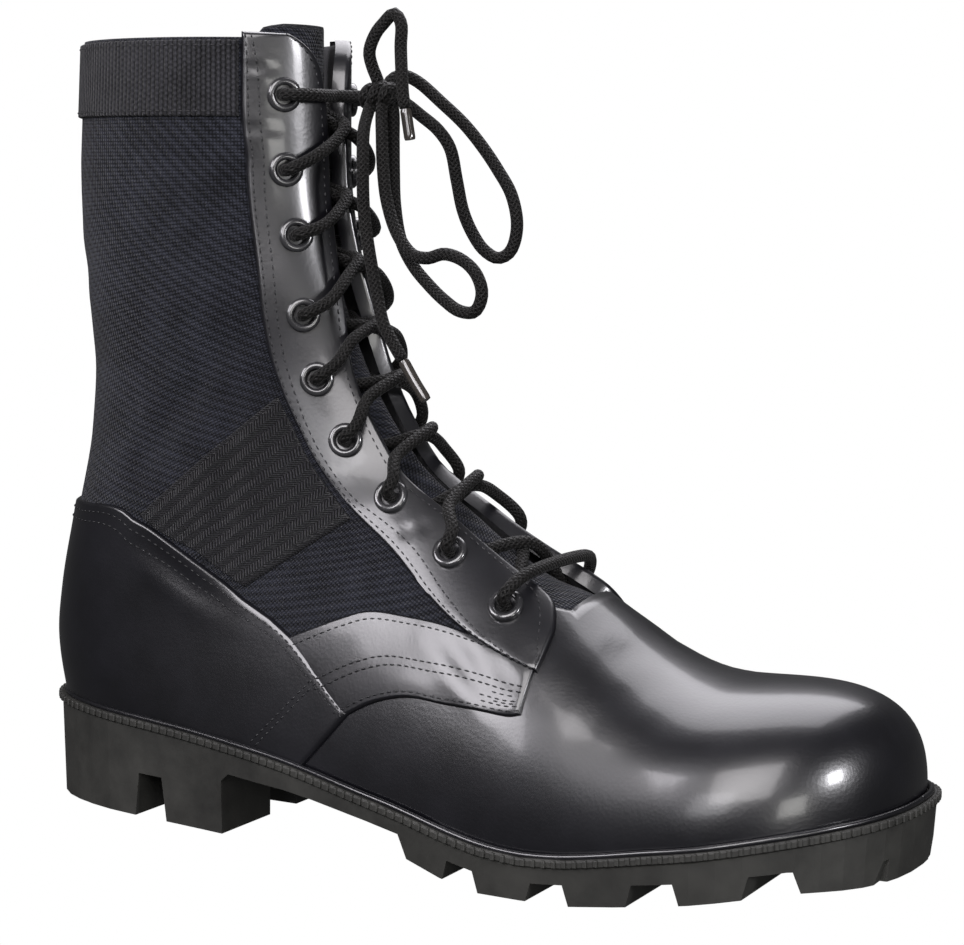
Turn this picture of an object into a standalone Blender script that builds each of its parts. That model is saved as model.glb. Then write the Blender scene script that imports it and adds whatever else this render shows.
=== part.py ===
"""Right jungle boot: lugged outsole, hollow upper, insole, tongue, leather overlays, eyelets and lace.

Metres, +Z up, toe towards +X, lateral side towards -Y.  The upper's surface is one function of a station
and an angle.  Stations run 0 at the toe tip, 1 at the ball plane, 2 level with the fan's pivot and 3 at the
collar: upright planes from 0 to 1, planes that fan about the pivot from 1 to 2, level planes from 2 to 3.
Angles run round each section from its front ridge, negative on the lateral side, 180 degrees at the back.
"""
import math

import bmesh
import bpy
import numpy as np
from mathutils import Matrix, Vector

# Overall sizes
BOOT_LENGTH = 0.308
COLLAR_HEIGHT = 0.255
BALL_WIDTH = 0.0995
HEEL_SEAT = 0.035
BALL_SEAT = 0.0133
TOE_SEAT = 0.0309

# Walls and clearances
WALL = 0.0022
GAP = 0.0003
FACET = 0.0002
OVERLAY = 0.0012
EYESTAY = 0.0018
TONGUE_THICKNESS = 0.0028
INSOLE_THICKNESS = 0.003
INSOLE_CLEARANCE = 0.0024

# Outsole
WELT = 0.0029
SIDE_DRAFT = 0.0010
RIB_HEIGHT = 0.0030
RIB_STEP = 0.0006
SOLE_BODY = 0.0080
LUG_DEPTH = 0.0065
HEEL_NOTCH_HEIGHT = 0.0145
SPINE_HALF_WIDTH = 0.014
CHANNEL_HALF_WIDTH = 0.008

# Eyelets and lace
EYELET_DIAMETER = 0.0110
EYELET_BORE = 0.0062
EYELET_BARREL = 0.0074
EYELET_HOLE = 0.0082
EYELET_CROWN = 0.0011
EYELET_SEAT = 0.0009
EYELET_ROUND = 0.0008
LACE_DIAMETER = 0.0040

# Mesh density
UPPER_SIDE_COLUMNS = 12
THROAT_COLUMNS = 2
OUTLINE_STEPS = 36
EYELET_STEPS = 10
COUNTER_ROWS = 15
LACE_POINTS = 13
FEED_POINTS = 10

# Front ridge of the upper: along (share of BOOT_LENGTH from the heel), up (share of COLLAR_HEIGHT)
FRONT_LINE = (
    (0.812, 0.2443), (0.789, 0.2471), (0.763, 0.2557), (0.731, 0.2737), (0.692, 0.3039), (0.627, 0.3569),
    (0.545, 0.4216), (0.463, 0.4922), (0.403, 0.5961), (0.364, 0.7137), (0.346, 0.8431), (0.344, 1.0000),
)
# Lowest line of the sections and then the back seam: along, up
BACK_LINE = (
    (0.812, -0.0235), (0.666, -0.0314), (0.503, -0.0275), (0.308, -0.0118), (0.179, 0.0118), (0.097, 0.0314),
    (0.052, 0.0580), (0.029, 0.0957), (0.0185, 0.1353), (0.009, 0.1973), (0.013, 0.2647), (0.029, 0.3631),
    (0.0513, 0.4851), (0.0575, 0.5918), (0.0474, 0.7063), (0.040, 0.8431), (0.0477, 1.0000),
)
# Sections: station, widest place (share from front to back), lateral and medial half width and shift of the
# middle towards the medial side (shares of BALL_WIDTH), power of the front and of the back curve
SECTIONS = (
    (1.00, 0.62, 0.518, 0.477, 0.00, 2.20, 2.20),
    (1.15, 0.70, 0.516, 0.472, -0.02, 2.15, 2.20),
    (1.30, 0.74, 0.448, 0.398, -0.03, 2.10, 2.20),
    (1.42, 0.74, 0.374, 0.330, -0.02, 2.00, 2.20),
    (1.52, 0.72, 0.334, 0.314, 0.00, 2.00, 2.20),
    (1.60, 0.68, 0.317, 0.317, 0.01, 2.00, 2.20),
    (1.72, 0.60, 0.305, 0.305, 0.01, 2.00, 2.20),
    (1.86, 0.54, 0.320, 0.320, 0.00, 2.00, 2.20),
    (2.00, 0.52, 0.333, 0.333, 0.00, 2.00, 2.10),
    (3.00, 0.52, 0.341, 0.341, 0.00, 2.00, 2.10),
)
# Toe cap: tip (share of BOOT_LENGTH), dip and lift of its top, powers of its side and plan curves,
# taper and medial shift of its tip (shares of BALL_WIDTH)
TOE_TIP = 0.992
TOE_DIP, TOE_LIFT = 0.22, 0.12
TOE_SIDE_POWER, TOE_PLAN_POWER = 2.8, 2.35
TOE_TAPER, TOE_SHIFT = 0.04, 0.05
# Feather line, where the upper meets the sole: along, share of the rise from BALL_SEAT to HEEL_SEAT,
# share of the rise from BALL_SEAT to TOE_SEAT
FEATHER = (
    (0.000, 1.00, 0.00), (0.211, 0.857, 0.00), (0.357, 0.677, 0.00), (0.503, 0.369, 0.00),
    (0.666, 0.00, 0.00), (0.812, 0.00, 0.386), (0.925, 0.00, 0.79), (1.000, 0.00, 1.00),
)
# Sole body under the feather line, without lugs: along, thickness (share of SOLE_BODY)
BODY = (
    (0.000, 1.20), (0.299, 1.20), (0.399, 1.00), (0.516, 0.87), (0.591, 1.02), (0.692, 0.95), (0.795, 1.10),
    (0.906, 1.20), (0.987, 1.60), (1.000, 1.60),
)
# Front edge of the eyestay and throat: station, half gap (share of BALL_WIDTH)
THROAT_EDGE = (
    (2.99, 0.171), (2.95, 0.146), (2.905, 0.123), (2.84, 0.098), (2.75, 0.078), (2.66, 0.066), (2.48, 0.053),
    (2.00, 0.042), (1.90, 0.049), (1.80, 0.069), (1.70, 0.098), (1.60, 0.102), (1.52, 0.120), (1.44, 0.146),
    (1.35, 0.176), (1.28, 0.199), (1.24, 0.214), (1.215, 0.261), (1.203, 0.326), (1.197, 0.386),
)
# Back edge of the eyestay: station, angle in degrees
EYESTAY_BACK = (
    (3.00, 51.0), (2.30, 51.0), (2.00, 49.5), (1.87, 50.0), (1.81, 51.5), (1.76, 51.0), (1.71, 48.0),
    (1.66, 44.0), (1.61, 41.0), (1.55, 38.5), (1.48, 39.0), (1.39, 42.5), (1.32, 45.0), (1.25, 46.0),
    (1.205, 44.5),
)
# Eyelets from the top: station, share across the eyestay from its front edge
EYELETS = (
    (2.51, 0.57), (1.987, 0.60), (1.898, 0.55), (1.792, 0.57), (1.706, 0.55), (1.617, 0.53), (1.516, 0.45),
    (1.396, 0.45), (1.281, 0.51),
)
# Heel counter's upper edge from its front tip to the back seam: station, angle
COUNTER_TOP = (
    (1.370, 74.0), (1.432, 69.0), (1.470, 66.5), (1.504, 65.5), (1.545, 66.5), (1.607, 74.5), (1.667, 91.5),
    (1.703, 130.0), (1.720, 180.0),
)
COUNTER_FOOT_STATION = 1.380
COUNTER_CLEAR = 0.02
# Arched wing between counter and eyestay, upper and lower edge: station, angle
WING_TOP = (
    (1.461, 65.0), (1.448, 58.5), (1.425, 53.0), (1.385, 49.5), (1.340, 47.0), (1.300, 47.5), (1.250, 48.0),
    (1.204, 46.5),
)
WING_FOOT = (
    (1.366, 72.5), (1.349, 69.0), (1.317, 65.3), (1.277, 63.6), (1.235, 61.3), (1.204, 59.5), (1.190, 57.5),
)
# Ankle webbing's ends, at the eyestay and at the counter: station, angle
WEBBING_FRONT = ((1.706, 49.5), (1.660, 45.5), (1.610, 42.5), (1.550, 40.0), (1.530, 40.0))
WEBBING_REAR = ((1.665, 89.0), (1.607, 73.0), (1.570, 67.5), (1.548, 65.0))
# Collar band: station of its lower and upper edge, angle of its front end
BAND_LOW, BAND_HIGH, BAND_FRONT = 2.335, 2.935, 52.2
# Tongue: station, half width (share of BALL_WIDTH), share of the lace's room above it
TONGUE = (
    (1.10, 0.20, 0.0), (1.20, 0.27, 0.10), (1.30, 0.30, 1.0), (1.60, 0.27, 1.0), (2.00, 0.25, 1.0),
    (2.80, 0.25, 1.0), (3.05, 0.22, 1.0), (3.08, 0.16, 1.0),
)
# Notches between the lugs: along at the rear and front of the opening (shares of BOOT_LENGTH)
FOREFOOT_NOTCHES = ((0.575, 0.616), (0.667, 0.712), (0.770, 0.822), (0.878, 0.925), (0.974, 0.992))
HEEL_NOTCH = (0.164, 0.208)
HEEL_BREAST = 0.286
FIRST_LUG = 0.531

# Lace: lifts of its middle over the upper inside a bore, over it, over the flange, over the eyestay's edge and
# at the middle of the throat, and of the crossing under the eyestays
LACE_LIFTS = (0.0012, 0.0072, 0.0080, 0.0058, 0.0022)
LACE_UNDER = 0.0045
UNDER_SHARES = (0.22, 0.4, 0.6, 0.78)
# How far towards the next eyelet a strand has come over the edge and in the middle
EDGE_CLIMB, MIDDLE_CLIMB = 0.38, 0.58
# Bow: middle and radii of the knot and the routes of its cords through points chosen by hand, in millimetres
KNOT = ((-31.0, 0.4, 235.5), (7.5, 5.0, 4.3))
AGLET_DIAMETER = 0.0036
FEED_ENDS = ((-38.8, -2.2, 235.1), (-38.8, 4.4, 236.0))
END_UP = (
    (-31.0, -0.6, 240.3), (-32.6, -1.4, 244.6), (-33.0, -2.6, 249.2), (-30.6, -2.8, 254.8), (-27.8, -2.6, 258.0),
    (-24.2, -2.4, 260.9), (-21.6, -2.6, 258.0), (-21.0, -3.6, 250.5), (-19.4, -5.6, 242.0), (-18.2, -6.6, 234.6),
    (-17.4, -6.6, 231.4),
)
AGLET_UP = ((-17.3, -6.6, 231.0), (-16.5, -6.6, 226.5), (-15.6, -6.6, 221.6))
LOOP_RIGHT = (
    (-28.5, 3.9, 240.9), (-26.0, 6.6, 242.2), (-22.2, 9.4, 240.3), (-15.0, 12.4, 233.7), (-8.6, 15.4, 227.2),
    (-3.1, 17.4, 220.3), (2.3, 18.4, 212.7), (7.4, 18.4, 204.6), (9.4, 18.4, 194.5), (7.5, 17.4, 186.9),
    (3.8, 16.4, 184.9), (-0.8, 15.4, 187.4), (-4.7, 14.4, 193.0), (-7.5, 13.4, 199.9), (-9.3, 12.4, 209.4),
    (-10.8, 10.4, 219.5), (-14.1, 8.4, 225.1), (-18.8, 6.0, 229.4), (-22.9, 3.4, 233.1),
)
LOOP_LOW = (
    (-28.3, -2.6, 231.1), (-26.4, -5.6, 223.1), (-25.4, -6.6, 213.8), (-23.3, -7.6, 202.8), (-18.9, -8.6, 192.6),
    (-12.9, -9.6, 186.2), (-6.6, -10.6, 185.1), (-0.9, -10.6, 186.5), (5.5, -10.6, 184.8), (10.5, -10.6, 180.6),
    (12.6, -10.6, 174.5), (10.3, -10.6, 169.2), (4.4, -9.6, 169.0), (-1.8, -8.6, 172.2), (-8.2, -7.4, 176.9),
    (-14.6, -5.9, 182.6), (-20.2, -3.9, 190.4), (-23.3, -2.4, 201.3), (-24.9, -0.6, 212.3), (-25.9, 0.8, 221.7),
    (-26.8, 1.9, 231.1),
)
END_DOWN = (
    (-32.7, -3.2, 231.0), (-31.2, -8.6, 224.6), (-29.7, -11.6, 213.6), (-28.6, -12.6, 199.6),
    (-26.1, -13.6, 187.5), (-22.5, -14.6, 173.9), (-19.3, -15.6, 164.1), (-15.4, -15.6, 157.9),
    (-12.3, -15.6, 153.5),
)
AGLET_DOWN = ((-12.1, -15.6, 153.2), (-7.9, -15.6, 146.8), (-3.9, -15.6, 141.4))


def table(rows):
    """Return a function that reads a smooth monotone curve through each column of a table."""
    grid = np.array(sorted(tuple(row) for row in rows), float)
    xs, ys = grid[:, 0], grid[:, 1:]
    step = np.diff(xs)[:, None]
    slope = np.diff(ys, axis=0) / step
    tangent = np.zeros_like(ys)
    tangent[0], tangent[-1] = slope[0], slope[-1]
    same = slope[1:] * slope[:-1] > 0
    w1, w2 = 2 * step[1:] + step[:-1], step[1:] + 2 * step[:-1]
    with np.errstate(divide="ignore", invalid="ignore"):
        tangent[1:-1] = np.where(same, (w1 + w2) / (w1 / slope[:-1] + w2 / slope[1:]), 0.0)

    def read(x):
        x = np.clip(np.asarray(x, float), xs[0], xs[-1])
        k = np.clip(np.searchsorted(xs, x, side="right") - 1, 0, len(xs) - 2)
        h = step[k, 0]
        t = ((x - xs[k]) / h)[..., None]
        h = h[..., None]
        value = (1 + 2 * t) * (1 - t) ** 2 * ys[k] + t * (1 - t) ** 2 * h * tangent[k]
        value = value + t * t * (3 - 2 * t) * ys[k + 1] + t * t * (t - 1) * h * tangent[k + 1]
        return value[..., 0] if value.shape[-1] == 1 else value

    return read


def along_to_x(along):
    """X of a share of the boot's length, with 0 at the middle."""
    return (np.asarray(along, float) - 0.5) * BOOT_LENGTH


PIVOT_X = float(along_to_x(FRONT_LINE[0][0]))
PIVOT_Z = FRONT_LINE[-2][1] * COLLAR_HEIGHT
TOE_X = float(along_to_x(TOE_TIP))


def line_reader(rows):
    """Return a function that reads a side line's distance from the pivot at a station."""
    out = []
    for along, up in rows:
        back, down = PIVOT_X - float(along_to_x(along)), PIVOT_Z - up * COLLAR_HEIGHT
        if down >= -1e-9:
            out.append((1 + math.atan2(back, down) / (math.pi / 2), math.hypot(back, down)))
        else:
            out.append((2 - down / (COLLAR_HEIGHT - PIVOT_Z), back))
    return table(out)


front_distance = line_reader(FRONT_LINE)
back_distance = line_reader(BACK_LINE)
section = table(SECTIONS)
feather_rise = table(FEATHER)
body_share = table(BODY)


def feather_height(x):
    """Height of the feather line at an X."""
    rise = feather_rise(np.asarray(x, float) / BOOT_LENGTH + 0.5)
    return BALL_SEAT + (HEEL_SEAT - BALL_SEAT) * rise[..., 0] + (TOE_SEAT - BALL_SEAT) * rise[..., 1]


def raw_surface(station, angle):
    """Point on the upper's outer face, before the boot is centred."""
    station, angle = np.broadcast_arrays(np.asarray(station, float), np.asarray(angle, float))
    held = np.clip(station, 1, 3)
    front, back = front_distance(held), back_distance(held)
    wide, lateral, medial, shift, front_power, back_power = np.moveaxis(section(held), -1, 0)
    lateral, medial, shift = lateral * BALL_WIDTH, medial * BALL_WIDTH, shift * BALL_WIDTH
    middle = front + (back - front) * wide
    toe = station < 1
    t = np.where(toe, np.sin((1 - station) * math.pi / 2), 0.0)
    toe_x = PIVOT_X + (TOE_X - PIVOT_X) * t
    seat, ball_seat = feather_height(toe_x), feather_height(PIVOT_X)
    side = np.clip(1 - t ** TOE_SIDE_POWER, 0, 1) ** (1 / TOE_SIDE_POWER)
    plan = np.clip(1 - t ** TOE_PLAN_POWER, 0, 1) ** (1 / TOE_PLAN_POWER)
    top = (PIVOT_Z - front - ball_seat) * (1 - TOE_DIP * t + TOE_LIFT * t * t)
    front = np.where(toe, PIVOT_Z - seat - top * side, front)
    middle = np.where(toe, PIVOT_Z - seat - (PIVOT_Z - middle - ball_seat) * side, middle)
    back = np.where(toe, PIVOT_Z - seat - (PIVOT_Z - back - ball_seat) * np.maximum(side, 0.02), back)
    lateral = np.where(toe, (lateral - TOE_TAPER * BALL_WIDTH * t) * plan, lateral)
    medial = np.where(toe, (medial - TOE_TAPER * BALL_WIDTH * t) * plan, medial)
    shift = shift + (TOE_SHIFT * BALL_WIDTH - shift) * t ** 2
    cos, sin = np.cos(angle), np.sin(angle)
    power = np.where(cos > 0, front_power, back_power)
    depth = np.where(cos > 0, middle - front, back - middle)
    reach = middle - depth * np.sign(cos) * np.abs(cos) ** (2 / power)
    across = shift + np.where(sin < 0, lateral, medial) * np.sign(sin) * np.abs(sin) ** (2 / power)
    lean = np.clip(station - 1, 0, 1) * math.pi / 2
    rise = np.maximum(station - 2, 0) * (COLLAR_HEIGHT - PIVOT_Z)
    x = np.where(toe, toe_x, PIVOT_X - reach * np.sin(lean))
    return np.stack([x, across, PIVOT_Z - reach * np.cos(lean) + rise], -1)


def bisect(test, low, high, steps=40):
    """Find where a decreasing test passes zero, for arrays of bounds."""
    low, high = np.array(low, float), np.array(high, float)
    for _ in range(steps):
        middle = (low + high) / 2
        above = test(middle) > 0
        low, high = np.where(above, middle, low), np.where(above, high, middle)
    return (low + high) / 2


def over_feather(station, angle):
    """Height of the upper's face over the feather line."""
    point = raw_surface(station, angle)
    return point[..., 2] - feather_height(point[..., 0])


def foot_angle(station, side):
    """Angle, without sign, at which a section reaches the feather line, or 180 degrees."""
    station = np.asarray(station, float)
    found = bisect(lambda a: over_feather(station, side * a), np.full(station.shape, 0.3),
                   np.full(station.shape, math.pi))
    return np.where(over_feather(station, side * math.pi) > 0, math.pi, found)


HEEL_STATION = float(bisect(lambda s: -over_feather(s, math.pi), 1.45, 1.75))


def outline_stations():
    """Stations along the feather line, close together at the toe tip and at the heel."""
    toe = np.linspace(0, 1, OUTLINE_STEPS // 3 + 1)[1:]
    rest = 1 + (HEEL_STATION - 1) * (1 - (1 - np.linspace(0, 1, OUTLINE_STEPS * 2 // 3 + 1)) ** 2)
    return np.concatenate([toe, rest[1:-1]])


def raw_feather_loop():
    """Feather line in plan, from the toe tip along the lateral side to the heel and back: x, y."""
    stations = outline_stations()
    sides = [raw_surface(stations, side * foot_angle(stations, side))[:, :2] for side in (-1, 1)]
    tip = raw_surface(0.0, 0.0)[None, :2]
    heel = raw_surface(HEEL_STATION, math.pi)[None, :2]
    return np.concatenate([tip, sides[0], heel, sides[1][::-1]])


def grow(loop, width):
    """Move a closed plan outline outwards by a width."""
    tangent = np.roll(loop, -1, 0) - np.roll(loop, 1, 0)
    tangent = tangent / np.linalg.norm(tangent, axis=1)[:, None]
    normal = np.stack([tangent[:, 1], -tangent[:, 0]], 1)
    return loop - normal * width


RAW_OUTLINE = grow(raw_feather_loop(), WELT + RIB_STEP)
CENTRE = (RAW_OUTLINE.max(0) + RAW_OUTLINE.min(0)) / 2


def surface(station, angle, lift=0.0):
    """Point on the upper's outer face, moved out along its normal by a lift."""
    point = raw_surface(station, angle)
    if np.any(lift):
        step = 1e-3
        along = raw_surface(station + step, angle) - raw_surface(station - step, angle)
        round_it = raw_surface(station, angle + step) - raw_surface(station, angle - step)
        normal = np.cross(round_it, along)
        point = point + normal / np.linalg.norm(normal, axis=-1)[..., None] * np.asarray(lift)[..., None]
    return point - np.array([CENTRE[0], CENTRE[1], 0.0])


def gap_angle(station, half_gap):
    """Angle, without sign, at which a section's lateral side is half a gap away from the middle plane."""
    values = section(np.clip(station, 1, 3))
    width, shift, power = values[..., 1] * BALL_WIDTH, values[..., 3] * BALL_WIDTH, values[..., 4]
    return np.arcsin(np.clip((half_gap + shift) / width, 0.0, 1.0) ** (power / 2))


throat_gap = table(
    [(1.213, 0.195)] + [row for row in THROAT_EDGE if 1.23 < row[0] < 2.8] + [(3.0, 0.086)]
)
THROAT_STATION = 1.213


def route(rows, count):
    """Read evenly spaced points from a smooth curve through rows of points."""
    rows = np.asarray(rows, float)
    scale = np.ptp(rows, axis=0).max()
    legs = np.linalg.norm(np.diff(rows, axis=0) / scale, axis=1) ** 0.5
    knots = np.concatenate([[0], np.cumsum(legs)])
    extended = np.concatenate([[2 * rows[0] - rows[1]], rows, [2 * rows[-1] - rows[-2]]])
    spots = np.concatenate([[-legs[0]], knots, [knots[-1] + legs[-1]]])
    dense = np.linspace(0, knots[-1], 40 * len(rows))
    out = []
    for t in dense:
        k = min(max(int(np.searchsorted(knots, t, side="right")) - 1, 0), len(rows) - 2)
        p, s = extended[k:k + 4], spots[k:k + 4]
        a = [p[i] + (p[i + 1] - p[i]) * (t - s[i]) / (s[i + 1] - s[i]) for i in range(3)]
        b = [a[i] + (a[i + 1] - a[i]) * (t - s[i]) / (s[i + 2] - s[i]) for i in range(2)]
        out.append(b[0] + (b[1] - b[0]) * (t - s[1]) / (s[2] - s[1]))
    out = np.array(out)
    length = np.concatenate([[0], np.cumsum(np.linalg.norm(np.diff(out, axis=0), axis=1))])
    spread = np.linspace(0, length[-1], count)
    return np.stack([np.interp(spread, length, out[:, k]) for k in range(out.shape[1])], 1)


def in_degrees(rows):
    """Table rows of station and angle in degrees, as station and radians."""
    return [(station, math.radians(angle)) for station, angle in rows]


def throat_rows():
    """Front edge of an eyestay as rows of station and angle."""
    return [(s, float(gap_angle(np.array(s), g * BALL_WIDTH))) for s, g in THROAT_EDGE]


def patch(edge_a, edge_b, rows, columns):
    """Stations and angles of a grid between two edges, each read at the same shares of its length."""
    a, b = route(edge_a, rows), route(edge_b, rows)
    share = np.linspace(0, 1, columns)[None, :, None]
    return a[:, None] * (1 - share) + b[:, None] * share


def collection(name):
    """Make a collection in the scene."""
    made = bpy.data.collections.new(name)
    bpy.context.scene.collection.children.link(made)
    return made


def material(name, colour, roughness, metallic=0.0):
    """Make a Principled material."""
    made = bpy.data.materials.new(name)
    made.use_nodes = True
    shader = made.node_tree.nodes["Principled BSDF"]
    shader.inputs["Base Color"].default_value = (*colour, 1.0)
    shader.inputs["Roughness"].default_value = roughness
    shader.inputs["Metallic"].default_value = metallic
    return made


def add_object(name, bm, group, look=None, smooth=True):
    """Turn a bmesh into an object of a collection."""
    mesh = bpy.data.meshes.new(name)
    bm.to_mesh(mesh)
    bm.free()
    made = bpy.data.objects.new(name, mesh)
    group.objects.link(made)
    if look is not None:
        mesh.materials.append(look)
    if smooth:
        mesh.shade_smooth()
        mesh.set_sharp_from_angle(angle=math.radians(40))
    return made


def grid_faces(bm, points, keep=None):
    """Add a grid of quads for an array of points, rows by columns."""
    rows, columns = points.shape[:2]
    verts = [[bm.verts.new(points[i, j]) for j in range(columns)] for i in range(rows)]
    for i in range(rows - 1):
        for j in range(columns - 1):
            if keep is None or keep(i, j):
                bm.faces.new((verts[i][j], verts[i + 1][j], verts[i + 1][j + 1], verts[i][j + 1]))


def face_outwards(bm, outside):
    """Weld a sheet's doubles and turn its faces the way a point outside of it asks for."""
    bmesh.ops.remove_doubles(bm, verts=bm.verts, dist=1e-5)
    loose = [v for v in bm.verts if not v.link_faces]
    bmesh.ops.delete(bm, geom=loose, context="VERTS")
    bmesh.ops.recalc_face_normals(bm, faces=bm.faces)
    bm.normal_update()
    first = max(bm.faces, key=lambda f: f.calc_area())
    if first.normal.dot(outside(first.calc_center_median())) < 0:
        bmesh.ops.reverse_faces(bm, faces=bm.faces)


def from_axis(point):
    """Direction from the boot's middle line to a point of the upper, as seen in its section."""
    if point.x > PIVOT_X:
        return Vector((0.3 * (point.x - PIVOT_X), point.y, point.z - BALL_SEAT))
    back, down = PIVOT_X - point.x, PIVOT_Z - point.z
    if down <= 0:
        reach, station = back, 2.0
    else:
        reach, station = math.hypot(back, down), 1 + math.atan2(back, down) / (math.pi / 2)
    middle = 0.5 * float(front_distance(station)) + 0.5 * float(back_distance(station))
    radial = Vector((-back, 0, -max(down, 0))).normalized() * (reach - middle)
    return radial + Vector((0, point.y, 0))


def shell(name, bm, group, look, thickness, offset):
    """Give an open sheet its wall with Solidify."""
    face_outwards(bm, from_axis)
    made = add_object(name, bm, group, look)
    wall = made.modifiers.new("wall", "SOLIDIFY")
    wall.thickness = thickness
    wall.offset = offset
    wall.use_even_offset = True
    wall.use_quality_normals = True
    return made


def cut(target, cutter):
    """Subtract a cutter with a Boolean modifier."""
    tool = target.modifiers.new("cut", "BOOLEAN")
    tool.operation = "DIFFERENCE"
    tool.solver = "EXACT"
    tool.object = cutter


def hide_cutter(cutter):
    """Keep a cutter out of the build."""
    cutter.hide_render = True
    cutter.display_type = "WIRE"
    return cutter


def side_prism(name, outline, low_y, high_y, group):
    """Make a cutter from a flat outline in the side view, pulled across the boot."""
    curve = bpy.data.curves.new(name, "CURVE")
    curve.dimensions = "2D"
    curve.fill_mode = "BOTH"
    curve.extrude = (high_y - low_y) / 2
    spline = curve.splines.new("POLY")
    spline.points.add(len(outline) - 1)
    for point, (x, z) in zip(spline.points, outline):
        point.co = (x, z, 0, 1)
    spline.use_cyclic_u = True
    drawn = bpy.data.objects.new(name, curve)
    group.objects.link(drawn)
    drawn.rotation_euler = (math.radians(90), 0, 0)
    drawn.location = (0, (low_y + high_y) / 2, 0)
    return drawn


def meshed(drawn, name, group, look=None):
    """Swap curve objects for one mesh object of closed bodies in world space."""
    bpy.context.view_layer.update()
    bm = bmesh.new()
    for source in drawn:
        graph = bpy.context.evaluated_depsgraph_get()
        mesh = bpy.data.meshes.new_from_object(source.evaluated_get(graph))
        mesh.transform(source.matrix_world)
        bm.from_mesh(mesh)
        bpy.data.meshes.remove(mesh)
    for source in drawn:
        bpy.data.objects.remove(source)
    bmesh.ops.remove_doubles(bm, verts=bm.verts, dist=1e-6)
    bmesh.ops.recalc_face_normals(bm, faces=bm.faces)
    return add_object(name, bm, group, look)


def tube(name, points, diameter, group):
    """Draw a round cord or wire through points."""
    curve = bpy.data.curves.new(name, "CURVE")
    curve.dimensions = "3D"
    curve.bevel_depth = diameter / 2
    curve.bevel_resolution = 2
    curve.use_fill_caps = True
    spline = curve.splines.new("POLY")
    spline.points.add(len(points) - 1)
    for point, place in zip(spline.points, points):
        point.co = (*place, 1)
    drawn = bpy.data.objects.new(name, curve)
    group.objects.link(drawn)
    return drawn


def loft(bm, loops):
    """Join closed loops of equal count by quads and cap both ends with strips across the boot."""
    count = len(loops[0])
    rings = [[bm.verts.new(p) for p in loop] for loop in loops]
    for low, high in zip(rings, rings[1:]):
        for k in range(count):
            n = (k + 1) % count
            bm.faces.new((low[k], high[k], high[n], low[n]))
    for ring, flip in ((rings[0], False), (rings[-1], True)):
        for k in range(count // 2):
            a, b, c, d = ring[k], ring[k + 1], ring[count - k - 1], ring[-k] if k else ring[0]
            corners = [a, b, c, d]
            unique = [v for i, v in enumerate(corners) if v not in corners[:i]]
            if len(unique) > 2:
                bm.faces.new(unique if flip else unique[::-1])


def plan_loop(width, height):
    """Closed loop round the feather line, grown by a width, with its height from a function of X."""
    loop = grow(raw_feather_loop(), width) - CENTRE
    base = raw_feather_loop() - CENTRE
    return [Vector((x, y, height(b[0]))) for (x, y), b in zip(loop, base)]


def seat_height(x):
    """Feather line's height at a centred X."""
    return float(feather_height(x + CENTRE[0]))


def body_floor(x):
    """Underside of the sole's body between its lugs."""
    return seat_height(x) - SOLE_BODY * float(body_share(x / BOOT_LENGTH + 0.5))


def tread_height(x):
    """Lowest face of the sole: flat on the ground at heel and ball, rising with the toe spring."""
    if x < along_to_x(FIRST_LUG) - LUG_DEPTH:
        return 0.0
    return max(0.0, body_floor(x) - LUG_DEPTH)


def notch_outline(rear, front, roof=None):
    """Side view of a notch between two lugs, narrower at its roof."""
    slant = 0.0018
    x0, x1 = float(along_to_x(rear)), float(along_to_x(front))
    roof = roof or body_floor
    low = -0.01
    return [(x0, low), (x0, tread_height(x0)), (x0 + slant, roof(x0 + slant)), (x1 - slant, roof(x1 - slant)),
            (x1, tread_height(x1)), (x1, low)]


def waist_outline():
    """Side view of the space under the arch, from the heel breast to the first lug."""
    x0, x1 = float(along_to_x(HEEL_BREAST)), float(along_to_x(FIRST_LUG))
    low, corner = -0.01, 0.003
    inner = [float(v) for v in np.linspace(x0 + corner, x1 - corner, 7)]
    roof = [(x, body_floor(x)) for x in inner]
    return [(x0, low), (x0, body_floor(x0) - corner)] + roof + [(x1, tread_height(x1)), (x1, low)]


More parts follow.
